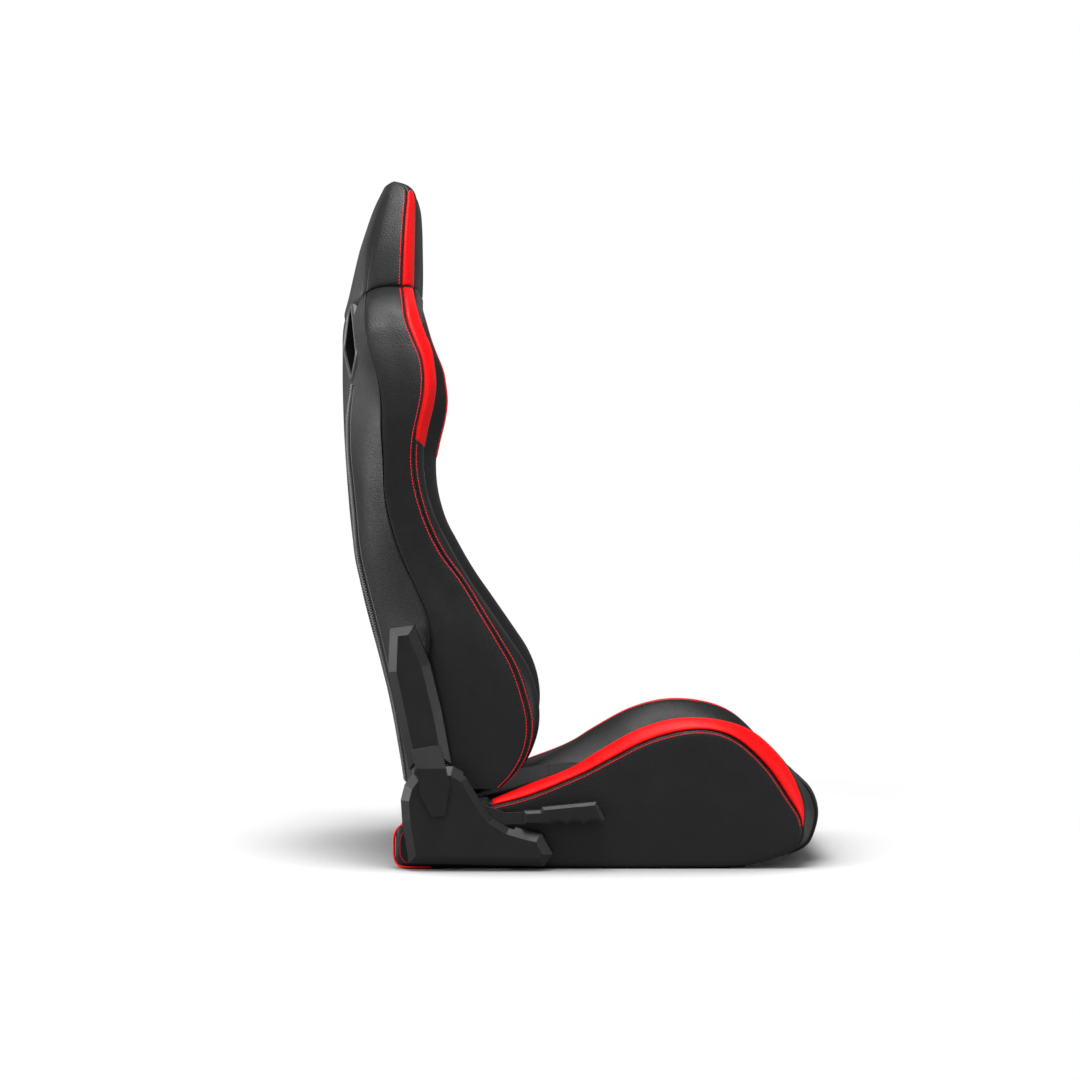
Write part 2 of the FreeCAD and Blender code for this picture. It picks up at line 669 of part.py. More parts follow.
def rear_row(y, forward):
    """The back's profile, which the facet outside FACET_START carries forward."""
    share = max(0, abs(y) - FACET_START) / (EDGE_Y - FACET_START)
    return profile([x + share * d + forward for x, d in zip(REAR_X, FACET)], REAR_Z, y)


def bolster_wire(y):
    front, rear = front_row(y), rear_row(y, dim("skin") + 0.5)
    return closed([front, rear[::-1]])


def slot_prism(hand):
    """The way through the back for a slot's surround, a little larger than its rim."""
    ring = [V(BEHIND, hand * y, z) for y, z in inset(SLOT, -dim("slot_rim") - SLOT_GAP)]
    return Part.Face(Part.makePolygon(ring + ring[:1])).extrude(V(-BEHIND, 0, 0))


def slot_face(plane, y, z):
    """Where the front or the rear face of a slot's surround lies."""
    x, per_y, per_z = plane
    return x + per_y * (y - SLOT_CENTRE[0]) + per_z * (z - SLOT_CENTRE[1])


def harness_bezel(hand):
    """A moulded surround: a sleeve right through the back with a bevelled rim at both ends."""
    rim, lip = -dim("slot_rim"), dim("slot_lip")
    section = [(FRONT_FACE, rim, -3), (FRONT_FACE, rim + 2, 0), (FRONT_FACE, -1, 0)]
    section += [(FRONT_FACE, lip, -3), (REAR_FACE, lip, 3), (REAR_FACE, -1, 0)]
    section += [(REAR_FACE, rim + 2, 0), (REAR_FACE, rim, 3)]
    rings = []
    for plane, depth, out in section:
        outline = inset(SLOT, depth)
        rings.append([V(slot_face(plane, y, z) + out, hand * y, z) for y, z in outline])
    faces = []
    for low, high in zip(rings, rings[1:] + rings[:1]):
        for k in range(len(SLOT)):
            quad = [low[k - 1], low[k], high[k], high[k - 1], low[k - 1]]
            faces.append(Part.Face(Part.makePolygon(quad)))
    solid = Part.makeSolid(Part.makeShell(faces))
    return solid if solid.Volume > 0 else solid.reversed()


def across(outline, near, far):
    """A prism across the seat between two distances, from a side-view outline of corners."""
    ring = [V(x, near, z) for x, z in outline]
    return Part.Face(Part.makePolygon(ring + ring[:1])).extrude(V(0, far - near, 0))


def frame_channel():
    """The hollow behind the left bolster's foam, which the hoop and the strap ends lie in."""
    clear = dim("back_tube_radius") + STRAP_ROOM
    top_x, side_y, top_z = HOOP[2]
    reach = dim("back_tube_radius") + HOOP_ROOM
    low_z, bend_z, end_z = BACK_LOW - 8, HOOP[1][2], top_z + 18
    line = [(hoop_x(low_z) + clear, low_z), (hoop_x(bend_z) + clear, bend_z), (top_x + clear, end_z)]
    line += [(BEHIND, end_z), (BEHIND, low_z)]
    low, high = V(*HOOP[2]), V(*HOOP[3])
    side = (high - low).normalize().cross(V(1, 0, 0)) * reach
    start = low - (high - low) / 5
    ring = [start + side, high + side, high - side, start - side]
    for corner in ring:
        corner.x = top_x + reach
    bridge = Part.Face(Part.makePolygon(ring + ring[:1])).extrude(V(BEHIND - top_x, 0, 0))
    return across(line, INNER_Y - 5, side_y + reach).fuse(bridge)


def backrest_bolster(hand):
    """A side bolster: the lumbar swell, the waist and the shoulder wing, around the frame."""
    stations = (INNER_Y, VALLEY_Y, CREST_Y, EDGE_Y)
    swell = loft([bolster_wire(hand * y) for y in stations])
    half = swell.common(prism(OUTLINE, BACK_LOW))
    start, via, end = [V(x, -BESIDE, z) for x, z in TUCK]
    corners = [end, V(end.x, -BESIDE, BACK_LOW - 10), V(0, -BESIDE, BACK_LOW - 10)]
    corners += [V(0, -BESIDE, start.z), start]
    runs = [Part.Arc(start, via, end).toShape(), *Part.makePolygon(corners).Edges]
    cuts = [Part.Face(Part.Wire(runs)).extrude(V(0, 2 * BESIDE, 0))]
    cuts += [prism(INSERT, BACK_LOW - 5, 1000), slot_prism(hand)]
    channel = frame_channel()
    cuts.append(channel.mirror(V(0, 0, 0), V(0, 1, 0)) if hand == RIGHT else channel)
    for a, b in ARM_BOLTS:
        x, z = dim("pivot_x") + a, dim("pivot_z") + b
        cuts.append(flat_bar(hand, x, z, CREST_Y - 35, BESIDE, dim("spacer_radius") + 2, 6))
    return half.cut(cuts)


def center_pad():
    """The backrest's insert: crowned, and drawn in at the seams beside the bolsters."""
    wires = []
    for y in (-VALLEY_Y, -INNER_Y, 0, INNER_Y, VALLEY_Y):
        front = front_row(y)
        back = [V(-198, y, 98), V(-210, y, 205), V(-249, y, 334), V(-288, y, 496), V(-303, y, 600)]
        back += [V(-298, y, 788)]
        rows = [front, back[-1:-3:-1], back[-3:-5:-1], back[-5::-1]]
        wires.append(closed(rows))
    return loft(wires).common(prism(INSERT, BACK_LOW, 1000))


def rear_panel():
    """The upholstered shell that closes the back, faceted towards the sides, with the slots."""
    wires = []
    for y in (-EDGE_Y, -FACET_START, FACET_START, EDGE_Y):
        outer, inner = rear_row(y, 0), rear_row(y, dim("skin"))
        wires.append(closed([outer, inner[::-1]]))
    panel = loft(wires).common(prism(OUTLINE, BACK_LOW))
    return panel.cut([slot_prism(hand) for _, hand in HANDS])


HEAD_FRONT_X = (-257, -262.5, -265, -275, -300)
HEAD_FRONT_Z = (780, 860, 916, 938, 945)
HEAD_REAR_X = (-359, -332.5, -306)
HEAD_REAR_Z = (780, 861, 937)
HEAD_SIDE_BACK, HEAD_SIDE_AHEAD = (12, 12, 12, 8, -6), (30, 22, 12)
HEAD_POCKET = ((-333, 780), (-298, 780), (-284, 903), (-312, 903))
HEAD_OUTLINE = [(150, 800), (139, 850, 1), (112, 915), (100, 936, 1), (80, 946)]
HEAD_LOW, HEAD_FLAT_Y, HEAD_SIDE_Y, HEAD_POCKET_Y = 790, 95, 150, 92


def headrest_pad():
    """The headrest, with a pocket below for the hoop."""
    wires = []
    for y in (-HEAD_SIDE_Y, -HEAD_FLAT_Y, HEAD_FLAT_Y, HEAD_SIDE_Y):
        side = 1 if abs(y) == HEAD_SIDE_Y else 0
        front = profile([x - side * b for x, b in zip(HEAD_FRONT_X, HEAD_SIDE_BACK)], HEAD_FRONT_Z, y)
        rear = profile([x + side * a for x, a in zip(HEAD_REAR_X, HEAD_SIDE_AHEAD)], HEAD_REAR_Z, y)
        wires.append(closed([front, rear[::-1]]))
    solid = loft(wires).common(prism(HEAD_OUTLINE, HEAD_LOW))
    return solid.cut(across(HEAD_POCKET, -HEAD_POCKET_Y, HEAD_POCKET_Y))


SEAT_CREST = ((-160, 93), (-112, 110), (-63, 128), (-36, 141), (-9, 158), (45, 187), (99, 201))
SEAT_CREST += ((155, 198), (201, 181), (238, 145), (262, 104), (270, 76), (266, 48), (258, 33), (246, 20))
SEAT_EDGE = ((-158, 84), (-105, 98), (-50, 120), (-20, 134), (10, 150), (52, 171), (99, 184.5))
SEAT_EDGE += ((140, 186), (176, 173), (213, 138), (240, 97), (255, 70), (258, 46), (252, 33), (243, 24))
SEAT_INNER = ((-200, 80), (-148, 90), (-100, 101), (-60, 105), (-9, 107), (45, 110.5), (99, 116))
SEAT_INNER += ((150, 120.5), (200, 122), (249, 117), (276, 101), (289, 68), (281, 33), (269, 20), (251, 12))
SEAT_SWELL = ((195, 0.64),)
SEAT_SEAM_Y, SEAT_FLAT_Y, SEAT_CROWN, SEAT_UNDER = 165, 110, 6, 56
NOSE_X, NOSE_LOW = 238, 26
SIDE_WALL = [(-284, 50), (-276, 59), (-210, 59), (-158, 84), (236, 60), (243, 24), (212, 9), (150, 2)]
SIDE_WALL += [(-276, 2), (-284, 10)]


def seat_wire(y, top):
    """A side profile of the seat: its top and nose, and the flat underside over the frame."""
    run = [V(x, y, z) for x, z in top]
    behind_nose = [V(NOSE_X, y, NOSE_LOW), V(NOSE_X, y, SEAT_UNDER)]
    return closed([run, behind_nose, [V(top[0][0], y, SEAT_UNDER), run[0]]])


def seat_bolster(hand):
    """A side bolster of the seat with its side wall, which closes the frame in."""
    half = dim("seat_half")
    rows = [(SEAT_SEAM_Y, SEAT_INNER)]
    for y, rise in SEAT_SWELL:
        pairs = zip(SEAT_INNER, SEAT_CREST)
        rows.append((y, [(a + rise * (c - a), b + rise * (d - b)) for (a, b), (c, d) in pairs]))
    rows += [(CREST_Y, SEAT_CREST), (half, SEAT_EDGE)]
    swell = loft([seat_wire(hand * y, top) for y, top in rows])
    ring = [V(x, hand * half, z) for x, z in SIDE_WALL]
    wall = Part.Face(Part.makePolygon(ring + ring[:1])).extrude(V(0, -hand * dim("seat_wall"), 0))
    holes = []
    for a, b in PLATE_BOLTS:
        x, z = dim("pivot_x") + a, dim("pivot_z") + b
        holes.append(flat_bar(hand, x, z, half - 30, half + 5, dim("spacer_radius") + 1.5, 6))
    return swell.fuse(wall).cut(holes)


def seat_center_cushion():
    """The seat's insert, crowned and drawn in at its side seams, rolling over the front edge."""
    wires = []
    for y in (-SEAT_SEAM_Y, -SEAT_FLAT_Y, SEAT_FLAT_Y, SEAT_SEAM_Y):
        rise = 0 if abs(y) == SEAT_SEAM_Y else SEAT_CROWN
        wires.append(seat_wire(y, [(x + rise / 3, z + rise) for x, z in SEAT_INNER]))
    return loft(wires)


PIPE_X, PIPE_LOW, PIPE_HIGH, PIPE_FRONT, PIPE_Y, PIPE_BEND = -286.3, 6, 61.2, -212, 244, 9


def rear_piping(hand):
    """Piping on the seam between a side wall and the seat's rear cover."""
    y = hand * PIPE_Y
    corners = [V(PIPE_X, y, PIPE_LOW), V(PIPE_X, y, PIPE_HIGH), V(PIPE_FRONT, y, PIPE_HIGH)]
    return tube(rounded_path(corners, PIPE_BEND), dim("pipe_radius"), 6)


def seat_rear_cover(label):
    """The rear end of the seat: a padded ledge under the backrest and the wall below it."""
    body = new_body(label)
    reach = "dims.seat_half - dims.seat_wall"
    sketch = start_sketch(body, "XZ_Plane", f"-({reach})")
    add_outline(
        sketch,
        [(-200, 55.8), (-200, 59), (-276, 59), (-280, 58, 1), (-284, 50), (-284, 10), (-281, 4), (-276, 2)]
        + [(-276, 6), (-280, 12), (-280, 48), (-276, 55.8)],
    )
    pad(body, sketch, f"2 * ({reach})")
    keep(label, body)


def build():
    made("base_frame", base_frame())
    mount_channel("mount_channel_front", "dims.mount_x")
    mount_channel("mount_channel_rear", "-dims.mount_x")
    made("mount_weld_nuts", weld_nuts())
    made("seat_straps", seat_straps())
    made("seat_center_cushion", seat_center_cushion())
    seat_rear_cover("seat_rear_cover")
    made("backrest_frame", backrest_frame())
    made("backrest_straps", backrest_straps())
    made("backrest_center_pad", center_pad())
    made("rear_panel", rear_panel())
    made("headrest_pad", headrest_pad())
    for side, hand in HANDS:
        made(f"seat_bolster_{side}", seat_bolster(hand))
        made(f"rear_piping_{side}", rear_piping(hand))
        made(f"harness_bezel_{side}", harness_bezel(hand))
        made(f"backrest_bolster_{side}", backrest_bolster(hand))
        lower_plate(f"lower_recliner_plate_{side}", hand)
        upper_arm(f"upper_recliner_arm_{side}", hand)
        lower_cover(f"lower_cover_{side}", hand)
        upper_cover(f"upper_cover_{side}", hand)
    recliner_halves("recliner_discs_moving", "dims.arm_far", "dims.disc_split - 0.2")
    recliner_halves("recliner_discs_fixed", "dims.disc_split + 0.2", "dims.plate_near")
    made("plate_bolts", bolts(PLATE_BOLTS, dim("plate_far"), PLATE_BORE - 2))
    made("arm_bolts", bolts(ARM_BOLTS, dim("arm_far"), ARM_BORE - 3))
    lever_arm("lever_arm")
    lever_grip("lever_grip")
    made("release_rod", release_rod())
    made("rod_clips", rod_clips())


def check_and_write():
    doc.recompute()
    for thing in doc.Objects:
        if "Invalid" in thing.State or "Error" in thing.State:
            raise RuntimeError(f"{thing.Label} failed: {thing.State}")
    os.makedirs("parts", exist_ok=True)
    for label, thing in subparts.items():
        shape = thing.Shape
        if shape.isNull() or not shape.isValid():
            raise RuntimeError(f"{label} has no valid shape")
        shape.exportStep(f"parts/{label}.step")
        print(f"{label:34s} solids {len(shape.Solids)} volume {shape.Volume / 1000:9.1f} cm3")


build()
check_and_write()
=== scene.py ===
import json
import math
from collections import namedtuple

import bmesh
import bpy
import numpy as np
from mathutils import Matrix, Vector
from mathutils.bvhtree import BVHTree


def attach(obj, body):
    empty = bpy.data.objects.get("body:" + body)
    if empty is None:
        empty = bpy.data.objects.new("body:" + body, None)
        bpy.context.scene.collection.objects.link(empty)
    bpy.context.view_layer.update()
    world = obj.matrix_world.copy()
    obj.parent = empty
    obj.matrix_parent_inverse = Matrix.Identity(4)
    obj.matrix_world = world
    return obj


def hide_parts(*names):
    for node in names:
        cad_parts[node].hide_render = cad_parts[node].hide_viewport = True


# A reclining racing seat: padded leather pieces sewn along their seams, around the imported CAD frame.
# Lengths are in millimetres until a mesh is made. X forward, Y to the seat's left, Z up.

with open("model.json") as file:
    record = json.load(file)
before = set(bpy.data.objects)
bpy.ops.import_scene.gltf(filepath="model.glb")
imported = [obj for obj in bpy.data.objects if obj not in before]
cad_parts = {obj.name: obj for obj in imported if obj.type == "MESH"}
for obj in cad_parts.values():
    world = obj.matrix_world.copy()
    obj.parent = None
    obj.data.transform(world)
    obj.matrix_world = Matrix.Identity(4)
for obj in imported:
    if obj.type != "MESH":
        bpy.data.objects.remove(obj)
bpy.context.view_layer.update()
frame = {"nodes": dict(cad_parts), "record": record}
MM = 0.001
HANDS = (("right", -1), ("left", 1))


# Smooth lines


def hermite(t, h, a, slope_a, b, slope_b):
    s, c = t * t * (3 - 2 * t), t * (1 - t)
    return a + s * (b - a) + h * c * ((1 - t) * slope_a - t * slope_b)


def through(pairs):
    """A smooth function through (place, value) pairs, level beyond its ends."""
    places, values = np.array(sorted(pairs), float).T
    slopes = np.gradient(values, places)

    def at(place):
        place = np.clip(place, places[0], places[-1])
        k = np.clip(np.searchsorted(places, place) - 1, 0, len(places) - 2)
        gap = places[k + 1] - places[k]
        t = (place - places[k]) / gap
        return hermite(t, gap, values[k], slopes[k], values[k + 1], slopes[k + 1])

    return at


def rail(points):
    """A smooth line through points, as a function of the point's number."""
    columns = [through(list(enumerate(column))) for column in np.array(points, float).T]
    return lambda t: np.array([column(t) for column in columns])


# Dots to each gap between control points, and how strongly a long gap slows the line down.
PER, PACE = 16, 0.6


def dense(points):
    """Closely spaced dots on the smooth line through control points."""
    points = np.asarray(points, float)
    gaps = np.maximum(np.linalg.norm(np.diff(points, axis=0), axis=1), 1e-3)
    knots = np.concatenate([[0], np.cumsum(gaps ** PACE)])
    slopes = np.gradient(points, knots, axis=0)
    t = np.linspace(0, 1, PER, endpoint=False)[:, None]
    dots = [
        hermite(t, knots[k + 1] - knots[k], points[k], slopes[k], points[k + 1], slopes[k + 1])
        for k in range(len(points) - 1)
    ]
    return np.concatenate(dots + [points[-1:]])


def travelled(dots):
    """The distance along a line of dots, at each dot."""
    return np.concatenate([[0], np.cumsum(np.linalg.norm(np.diff(dots, axis=0), axis=1))])


def spots_at(dots, path, places):
    """Points at some places along a line whose dots lie at path."""
    return np.array([np.interp(places, path, column) for column in dots.T]).T


def even(dots, step):
    """Dots moved to even steps along their line."""
    path = travelled(dots)
    count = max(2, int(round(path[-1] / step)) + 1)
    return spots_at(dots, path, np.linspace(0, path[-1], count))


def ramp(value, zero, one):
    """An even slope from 0 at the place zero to 1 at the place one, level beyond them."""
    return np.clip((value - zero) / (one - zero), 0, 1)


def unit(vector):
    """A vector, or every vector of a grid, at length 1."""
    return vector / np.maximum(np.linalg.norm(vector, axis=-1, keepdims=True), 1e-9)


# Rows and columns of a padded piece

# Columns beside a seam, the width that a seam rolls in over, and the width under which both tighten.
NEAR = np.array((0.0, 0.7, 1.5, 2.6, 4.2, 6.5, 9.5))
ROLL, NARROW = 6.5, 26


def panel_places(length, middle):
    """Places across a panel, closer together beside the seams at both of its ends."""
    near = NEAR * min(1, length / NARROW)
    inner = np.linspace(near[-1], length - near[-1], middle + 2)[1:-1]
    return np.concatenate([near, inner, (length - near)[::-1]])


def stepped(fine, path, step, stops=(), ruler=None, clear=0.05):
    """Rows at even steps along a path. Beside each stop they lie as NEAR says on the ruler, and the
    ones within a clear gap of those are left out. fine holds the rows that path and ruler measure."""
    rows = np.interp(np.linspace(0, path[-1], int(path[-1] / step) + 2), path, fine)
    for stop in stops:
        at = np.interp(stop, fine, ruler)
        near = np.interp(np.concatenate([at - NEAR[::-1], at + NEAR[1:]]), ruler, fine)
        rows = np.concatenate([rows[(rows < near[0] - clear) | (rows > near[-1] + clear)], near])
    return np.sort(rows)


# The step that an outline is measured in, and the gap kept beside a seam's rows.
FINE, CLEAR = 0.25, 2.5


def row_places(low, high, step, outline, stops=()):
    """Heights of a piece's rows, from the functions of height that make up its outline."""
    fine = np.arange(low, high, FINE)
    values = np.array([f(fine) for f in outline])
    path = np.cumsum(np.hypot(np.abs(np.gradient(values, axis=1)).sum(0), FINE))
    return stepped(fine, path - path[0], step, stops, fine, CLEAR)


def rolled(distance, width=ROLL):
    """How far a seam draws the leather in, from 1 at the seam to 0 a roll's width away."""
    t = 1 - np.clip(np.abs(distance) / width, 0, 1)
    return 1 - np.sqrt(np.maximum(0, 1 - t * t))


# A stretch of a section from one control point to another: its inner columns, the depths of the seams
# at its ends, the height of its crown, and whether it lies hidden inside the seat.
Panel = namedtuple("Panel", "first last middle depths crown hidden", defaults=((0, 0), 0, False))


def mirrored_panels(half, between=()):
    """A ring's panels from those of its one half, and any that lie between the halves."""
    marks = half[-1].last + (between[0].last if between else half[-1].last)
    back = [p._replace(first=marks - p.last, last=marks - p.first, depths=p.depths[::-1]) for p in half]
    return [*half, *between, *back[::-1]]


# A crown's roundness: lower is flatter on top.
CROWN_BEND = 0.8


def across(controls, panels, row):
    """One row: points along its panels, how far each stands out, and which of them are hidden."""
    dots = dense(controls)
    path = travelled(dots)
    points, lifts, hidden = [], [], []
    for panel in panels:
        start, end = path[panel.first * PER], path[panel.last * PER]
        length = end - start
        if panel.hidden:
            places = np.linspace(0, length, panel.middle + 2)
        else:
            places = panel_places(length, panel.middle)
        u = places / length
        lift = panel.crown * np.power(np.maximum(4 * u * (1 - u), 0), CROWN_BEND)
        for depth, distance in zip(panel.depths, (places, length - places)):
            depth = depth(row) if callable(depth) else depth
            lift = lift - depth * rolled(distance, ROLL * min(1, length / NARROW))
        skip = 1 if points else 0
        points.append(spots_at(dots, path, start + places)[skip:])
        lifts.append(lift[skip:])
        hidden.append(np.full(len(places) - skip, panel.hidden))
    return np.concatenate(points), np.concatenate(lifts), np.concatenate(hidden)


def normals_of(grid, around, middle):
    """A grid's normals, turned away from the middle. The grid's rows are rings if around."""
    if around:
        along = np.roll(grid, -1, 1) - np.roll(grid, 1, 1)
    else:
        along = np.gradient(grid, axis=1)
    normal = unit(np.cross(along, np.gradient(grid, axis=0)))
    return normal * (np.sign(((grid - middle) * normal).sum()) or 1)


def quads(rows, columns, around):
    """The faces between the rows of a grid, whose rows are rings if around."""
    faces = []
    for i in range(rows - 1):
        low, high = i * columns, (i + 1) * columns
        for j in range(columns if around else columns - 1):
            k = (j + 1) % columns
            faces.append((low + j, low + k, high + k, high + j))
    return faces


def prism(base, rings, sides):
    """The faces of a closed tube whose points start at number base: its walls and its two ends."""
    walls = [tuple(base + k for k in face) for face in quads(rings, sides, True)]
    last = base + (rings - 1) * sides
    return walls + [tuple(range(base, base + sides))[::-1], tuple(range(last, last + sides))]


def placed(name, data):
    """A new object in the scene."""
    obj = bpy.data.objects.new(name, data)
    bpy.context.scene.collection.objects.link(obj)
    return obj


def new_object(name, points, faces, material, smooth=True):
    """A mesh object from points in millimetres."""
    mesh = bpy.data.meshes.new(name)
    mesh.from_pydata((np.asarray(points, float).reshape(-1, 3) * MM).tolist(), [], faces)
    mesh.update()
    mesh.materials.append(material)
    if smooth:
        mesh.shade_smooth()
    else:
        mesh.shade_flat()
    return placed(name, mesh)


def face_out(obj, change=None):
    """Turns an object's faces outwards, after a change to its mesh if one is given."""
    bm = bmesh.new()
    bm.from_mesh(obj.data)
    if change:
        change(bm)
    bmesh.ops.recalc_face_normals(bm, faces=bm.faces)
    bm.to_mesh(obj.data)
    bm.free()
    obj.data.update()


def places_of(mesh):
    places = np.zeros(len(mesh.vertices) * 3)
    mesh.vertices.foreach_get("co", places)
    return places.reshape(-1, 3)


def edge_ends(mesh):
    """The numbers of the points at each edge's two ends."""
    ends = np.zeros(len(mesh.edges) * 2, int)
    mesh.edges.foreach_get("vertices", ends)
    return ends.reshape(-1, 2).T


def apply_modifiers(obj):
    graph = bpy.context.evaluated_depsgraph_get()
    mesh = bpy.data.meshes.new_from_object(obj.evaluated_get(graph), depsgraph=graph)
    obj.modifiers.clear()
    obj.data = mesh


def close_ends(obj):
    """Fills a tube's open ends with flat faces."""
    def fill(bm):
        rims = [e for e in bm.edges if e.is_boundary]
        made = bmesh.ops.holes_fill(bm, edges=rims)["faces"]
        for face in made:
            face.smooth = False
            for edge in face.edges:
                edge.smooth = False
        bmesh.ops.triangulate(bm, faces=made)

    face_out(obj, fill)


def two_sided(name, top, under, material):
    """A closed pad between two grids of the same size."""
    rows, columns = top.shape[:2]
    total = rows * columns
    faces = quads(rows, columns, False)
    faces += [tuple(total + k for k in face[::-1]) for face in faces]
    numbers = np.arange(total).reshape(rows, columns)
    sides = (numbers[0], numbers[1:, -1], numbers[-1, -2::-1], numbers[-2:0:-1, 0])
    rim = np.concatenate(sides).tolist()
    faces += [(a, b, total + b, total + a) for a, b in zip(rim, rim[1:] + rim[:1])]
    return new_object(name, [top, under], faces, material)


def subdivide(obj):
    """One level of subdivision, applied."""
    smoother = obj.modifiers.new("smooth", "SUBSURF")
    smoother.levels = smoother.render_levels = 1
    apply_modifiers(obj)


pads = []
# A point sunk deeper than this belongs to a seam, which the cloth doesn't move.
SEAM_DEEP = 0.4


def keep_corners(mesh, hidden):
    """Keeps a pad's edge sharp where its seen panels turn under into the hidden ones."""
    columns = hidden.shape[1]
    at_edge = (~hidden & (np.roll(hidden, 1, 1) | np.roll(hidden, -1, 1))).reshape(-1)
    a, b = edge_ends(mesh)
    keep = at_edge[a] & at_edge[b] & (np.abs(a - b) == columns)
    mesh.attributes.new("crease_edge", "FLOAT", "EDGE").data.foreach_set("value", keep.astype(float))
    mesh.attributes.new("sharp_edge", "BOOLEAN", "EDGE").data.foreach_set("value", keep)


def padded_piece(name, rows, sections, panels, material, row_lift=None):
    """A closed tube of sewn panels. sections(row) gives a ring of control points that ends where it
    starts, and a function that puts the row's points into space."""
    grid, lifts, hidden = [], [], []
    for row in rows:
        controls, place = sections(row)
        points, lift, unseen = across(controls, panels, row)
        grid.append(place(points))
        lifts.append(lift)
        hidden.append(unseen)
    grid, lifts, hidden = (np.array(part)[:, :-1] for part in (grid, lifts, hidden))
    normal = normals_of(grid, True, grid.mean(1, keepdims=True))
    if row_lift is not None:
        lifts = lifts + row_lift(rows)[:, None] * ~hidden
    faces = quads(*grid.shape[:2], True)
    obj = new_object(name, grid + normal * lifts[..., None], faces, material)
    keep_corners(obj.data, hidden)
    pads.append((obj, (hidden | (lifts < -SEAM_DEEP)).reshape(-1)))
    return obj


def mirrored_section(half):
    """A whole ring of controls from its half, which runs from the middle plane round to it again."""
    return half + [(-y, x) for y, x in half[-2:0:-1]] + [half[0]]


# Cloth: what is held stays, and the rest swells between the seams

# The most that a point moves in millimetres, and the simulation's frames. Then how often the moves
# are averaged, a point's own share in that, and a height in metres that they don't go below.
SWELL_MOST, STEPS = 1.8, 20
EVENING_ROUNDS, OWN_SHARE, LOWEST = 24, 0.4, 0.002
BILLOW = {
    "vertex_group_mass": "held",
    "use_pressure": True,
    "uniform_pressure_force": 4,
    "tension_stiffness": 30,
    "compression_stiffness": 30,
    "bending_stiffness": 4,
    "quality": 4,
}


def evened(mesh, move, held):
    """Moves of a mesh's points, averaged with their neighbours'; held points stay."""
    a, b = edge_ends(mesh)
    near = np.bincount(np.concatenate([a, b]), minlength=len(move))[:, None]
    for _ in range(EVENING_ROUNDS):
        total = np.zeros_like(move)
        np.add.at(total, a, move[b])
        np.add.at(total, b, move[a])
        move = np.where(held[:, None], 0, OWN_SHARE * move + (1 - OWN_SHARE) * total / near)
    return move


def billowing(obj, held):
    """Gives a pad Cloth with pressure inside and no gravity, held along its seams."""
    pins = obj.vertex_groups.new(name="held")
    pins.add(np.nonzero(held)[0].tolist(), 1.0, "REPLACE")
    cloth = obj.modifiers.new("swell", "CLOTH")
    for key, value in BILLOW.items():
        setattr(cloth.settings, key, value)
    cloth.settings.effector_weights.gravity = 0
    cloth.collision_settings.use_collision = False
    cloth.point_cache.frame_start, cloth.point_cache.frame_end = 1, STEPS


def swell():
    """Inflates every pad made so far with Cloth, and keeps the result in the mesh."""
    scene = bpy.context.scene
    scene.frame_start, scene.frame_end = 1, STEPS
    starts = [places_of(obj.data) for obj, _ in pads]
    for obj, held in pads:
        billowing(obj, held)
    for step in range(1, STEPS + 1):
        scene.frame_set(step)
    graph = bpy.context.evaluated_depsgraph_get()
    for (obj, held), start in zip(pads, starts):
        move = evened(obj.data, places_of(obj.evaluated_get(graph).data) - start, held)
        size = np.maximum(np.linalg.norm(move, axis=1, keepdims=True), 1e-9)
        limit = SWELL_MOST * MM
        moved = start + move / size * limit * np.tanh(size / limit)
        moved[:, 2] = np.maximum(moved[:, 2], np.minimum(start[:, 2], LOWEST))
        obj.modifiers.clear()
        obj.vertex_groups.clear()
        obj.data.vertices.foreach_set("co", moved.reshape(-1))
        obj.data.update()
    scene.frame_set(1)


# Materials


def feed(tree, node, inputs):
    """Fills a node's inputs: sockets are linked, and plain values are written in."""
    for key, value in inputs.items():
        if isinstance(value, bpy.types.NodeSocket):
            tree.links.new(value, node.inputs[key])
        else:
            node.inputs[key].default_value = value


def add(tree, kind, inputs=None, **settings):
    """A new node with its settings and inputs."""
    node = tree.nodes.new("ShaderNode" + kind)
    for key, value in settings.items():
        setattr(node, key, value)
    feed(tree, node, inputs or {})
    return node


def nodes_of(name):
    material = bpy.data.materials.new(name)
    material.use_nodes = True
    tree = material.node_tree
    return material, tree, tree.nodes["Principled BSDF"], add(tree, "TexCoord").outputs["Object"]


def noise(tree, where, scale, detail, rough=0.5):
    inputs = {"Vector": where, "Scale": scale, "Detail": detail, "Roughness": rough}
    return add(tree, "TexNoise", inputs).outputs["Fac"]


def ranged(tree, value, low, high, new_low, new_high):
    limits = {"From Min": low, "From Max": high, "To Min": new_low, "To Max": new_high}
    return add(tree, "MapRange", {"Value": value, **limits}).outputs["Result"]


def mixed(tree, share, a, b):
    a, b = (c + (1,) if isinstance(c, tuple) else c for c in (a, b))
    # Inputs 6 and 7 are the node's two colours.
    return add(tree, "Mix", {"Factor": share, 6: a, 7: b}, data_type="RGBA").outputs[2]


def bump(tree, height, strength, distance, below=None):
    inputs = {"Strength": strength, "Distance": distance, "Height": height}
    if below is not None:
        inputs["Normal"] = below
    return add(tree, "Bump", inputs).outputs["Normal"]


def blended(tree, share, first, second, output):
    """Shows the first shader where share is 0, and the second where it is 1."""
    blend = add(tree, "MixShader", {0: share, 1: first.outputs[0], 2: second.outputs[0]})
    feed(tree, tree.nodes[output], {"Surface": blend.outputs[0]})


def shade(colour, share):
    return tuple(min(1, c * share) for c in colour)


def clouded(tree, where, scale, colour, spread, detail=3, rough=0.5):
    """A colour that drifts in tone over broad patches, and the patches themselves."""
    patches = noise(tree, where, scale, detail, rough)
    tone = ranged(tree, patches, 0.3, 0.7, 0, 1)
    return mixed(tree, tone, shade(colour, 1 - spread), shade(colour, 1 + spread)), patches


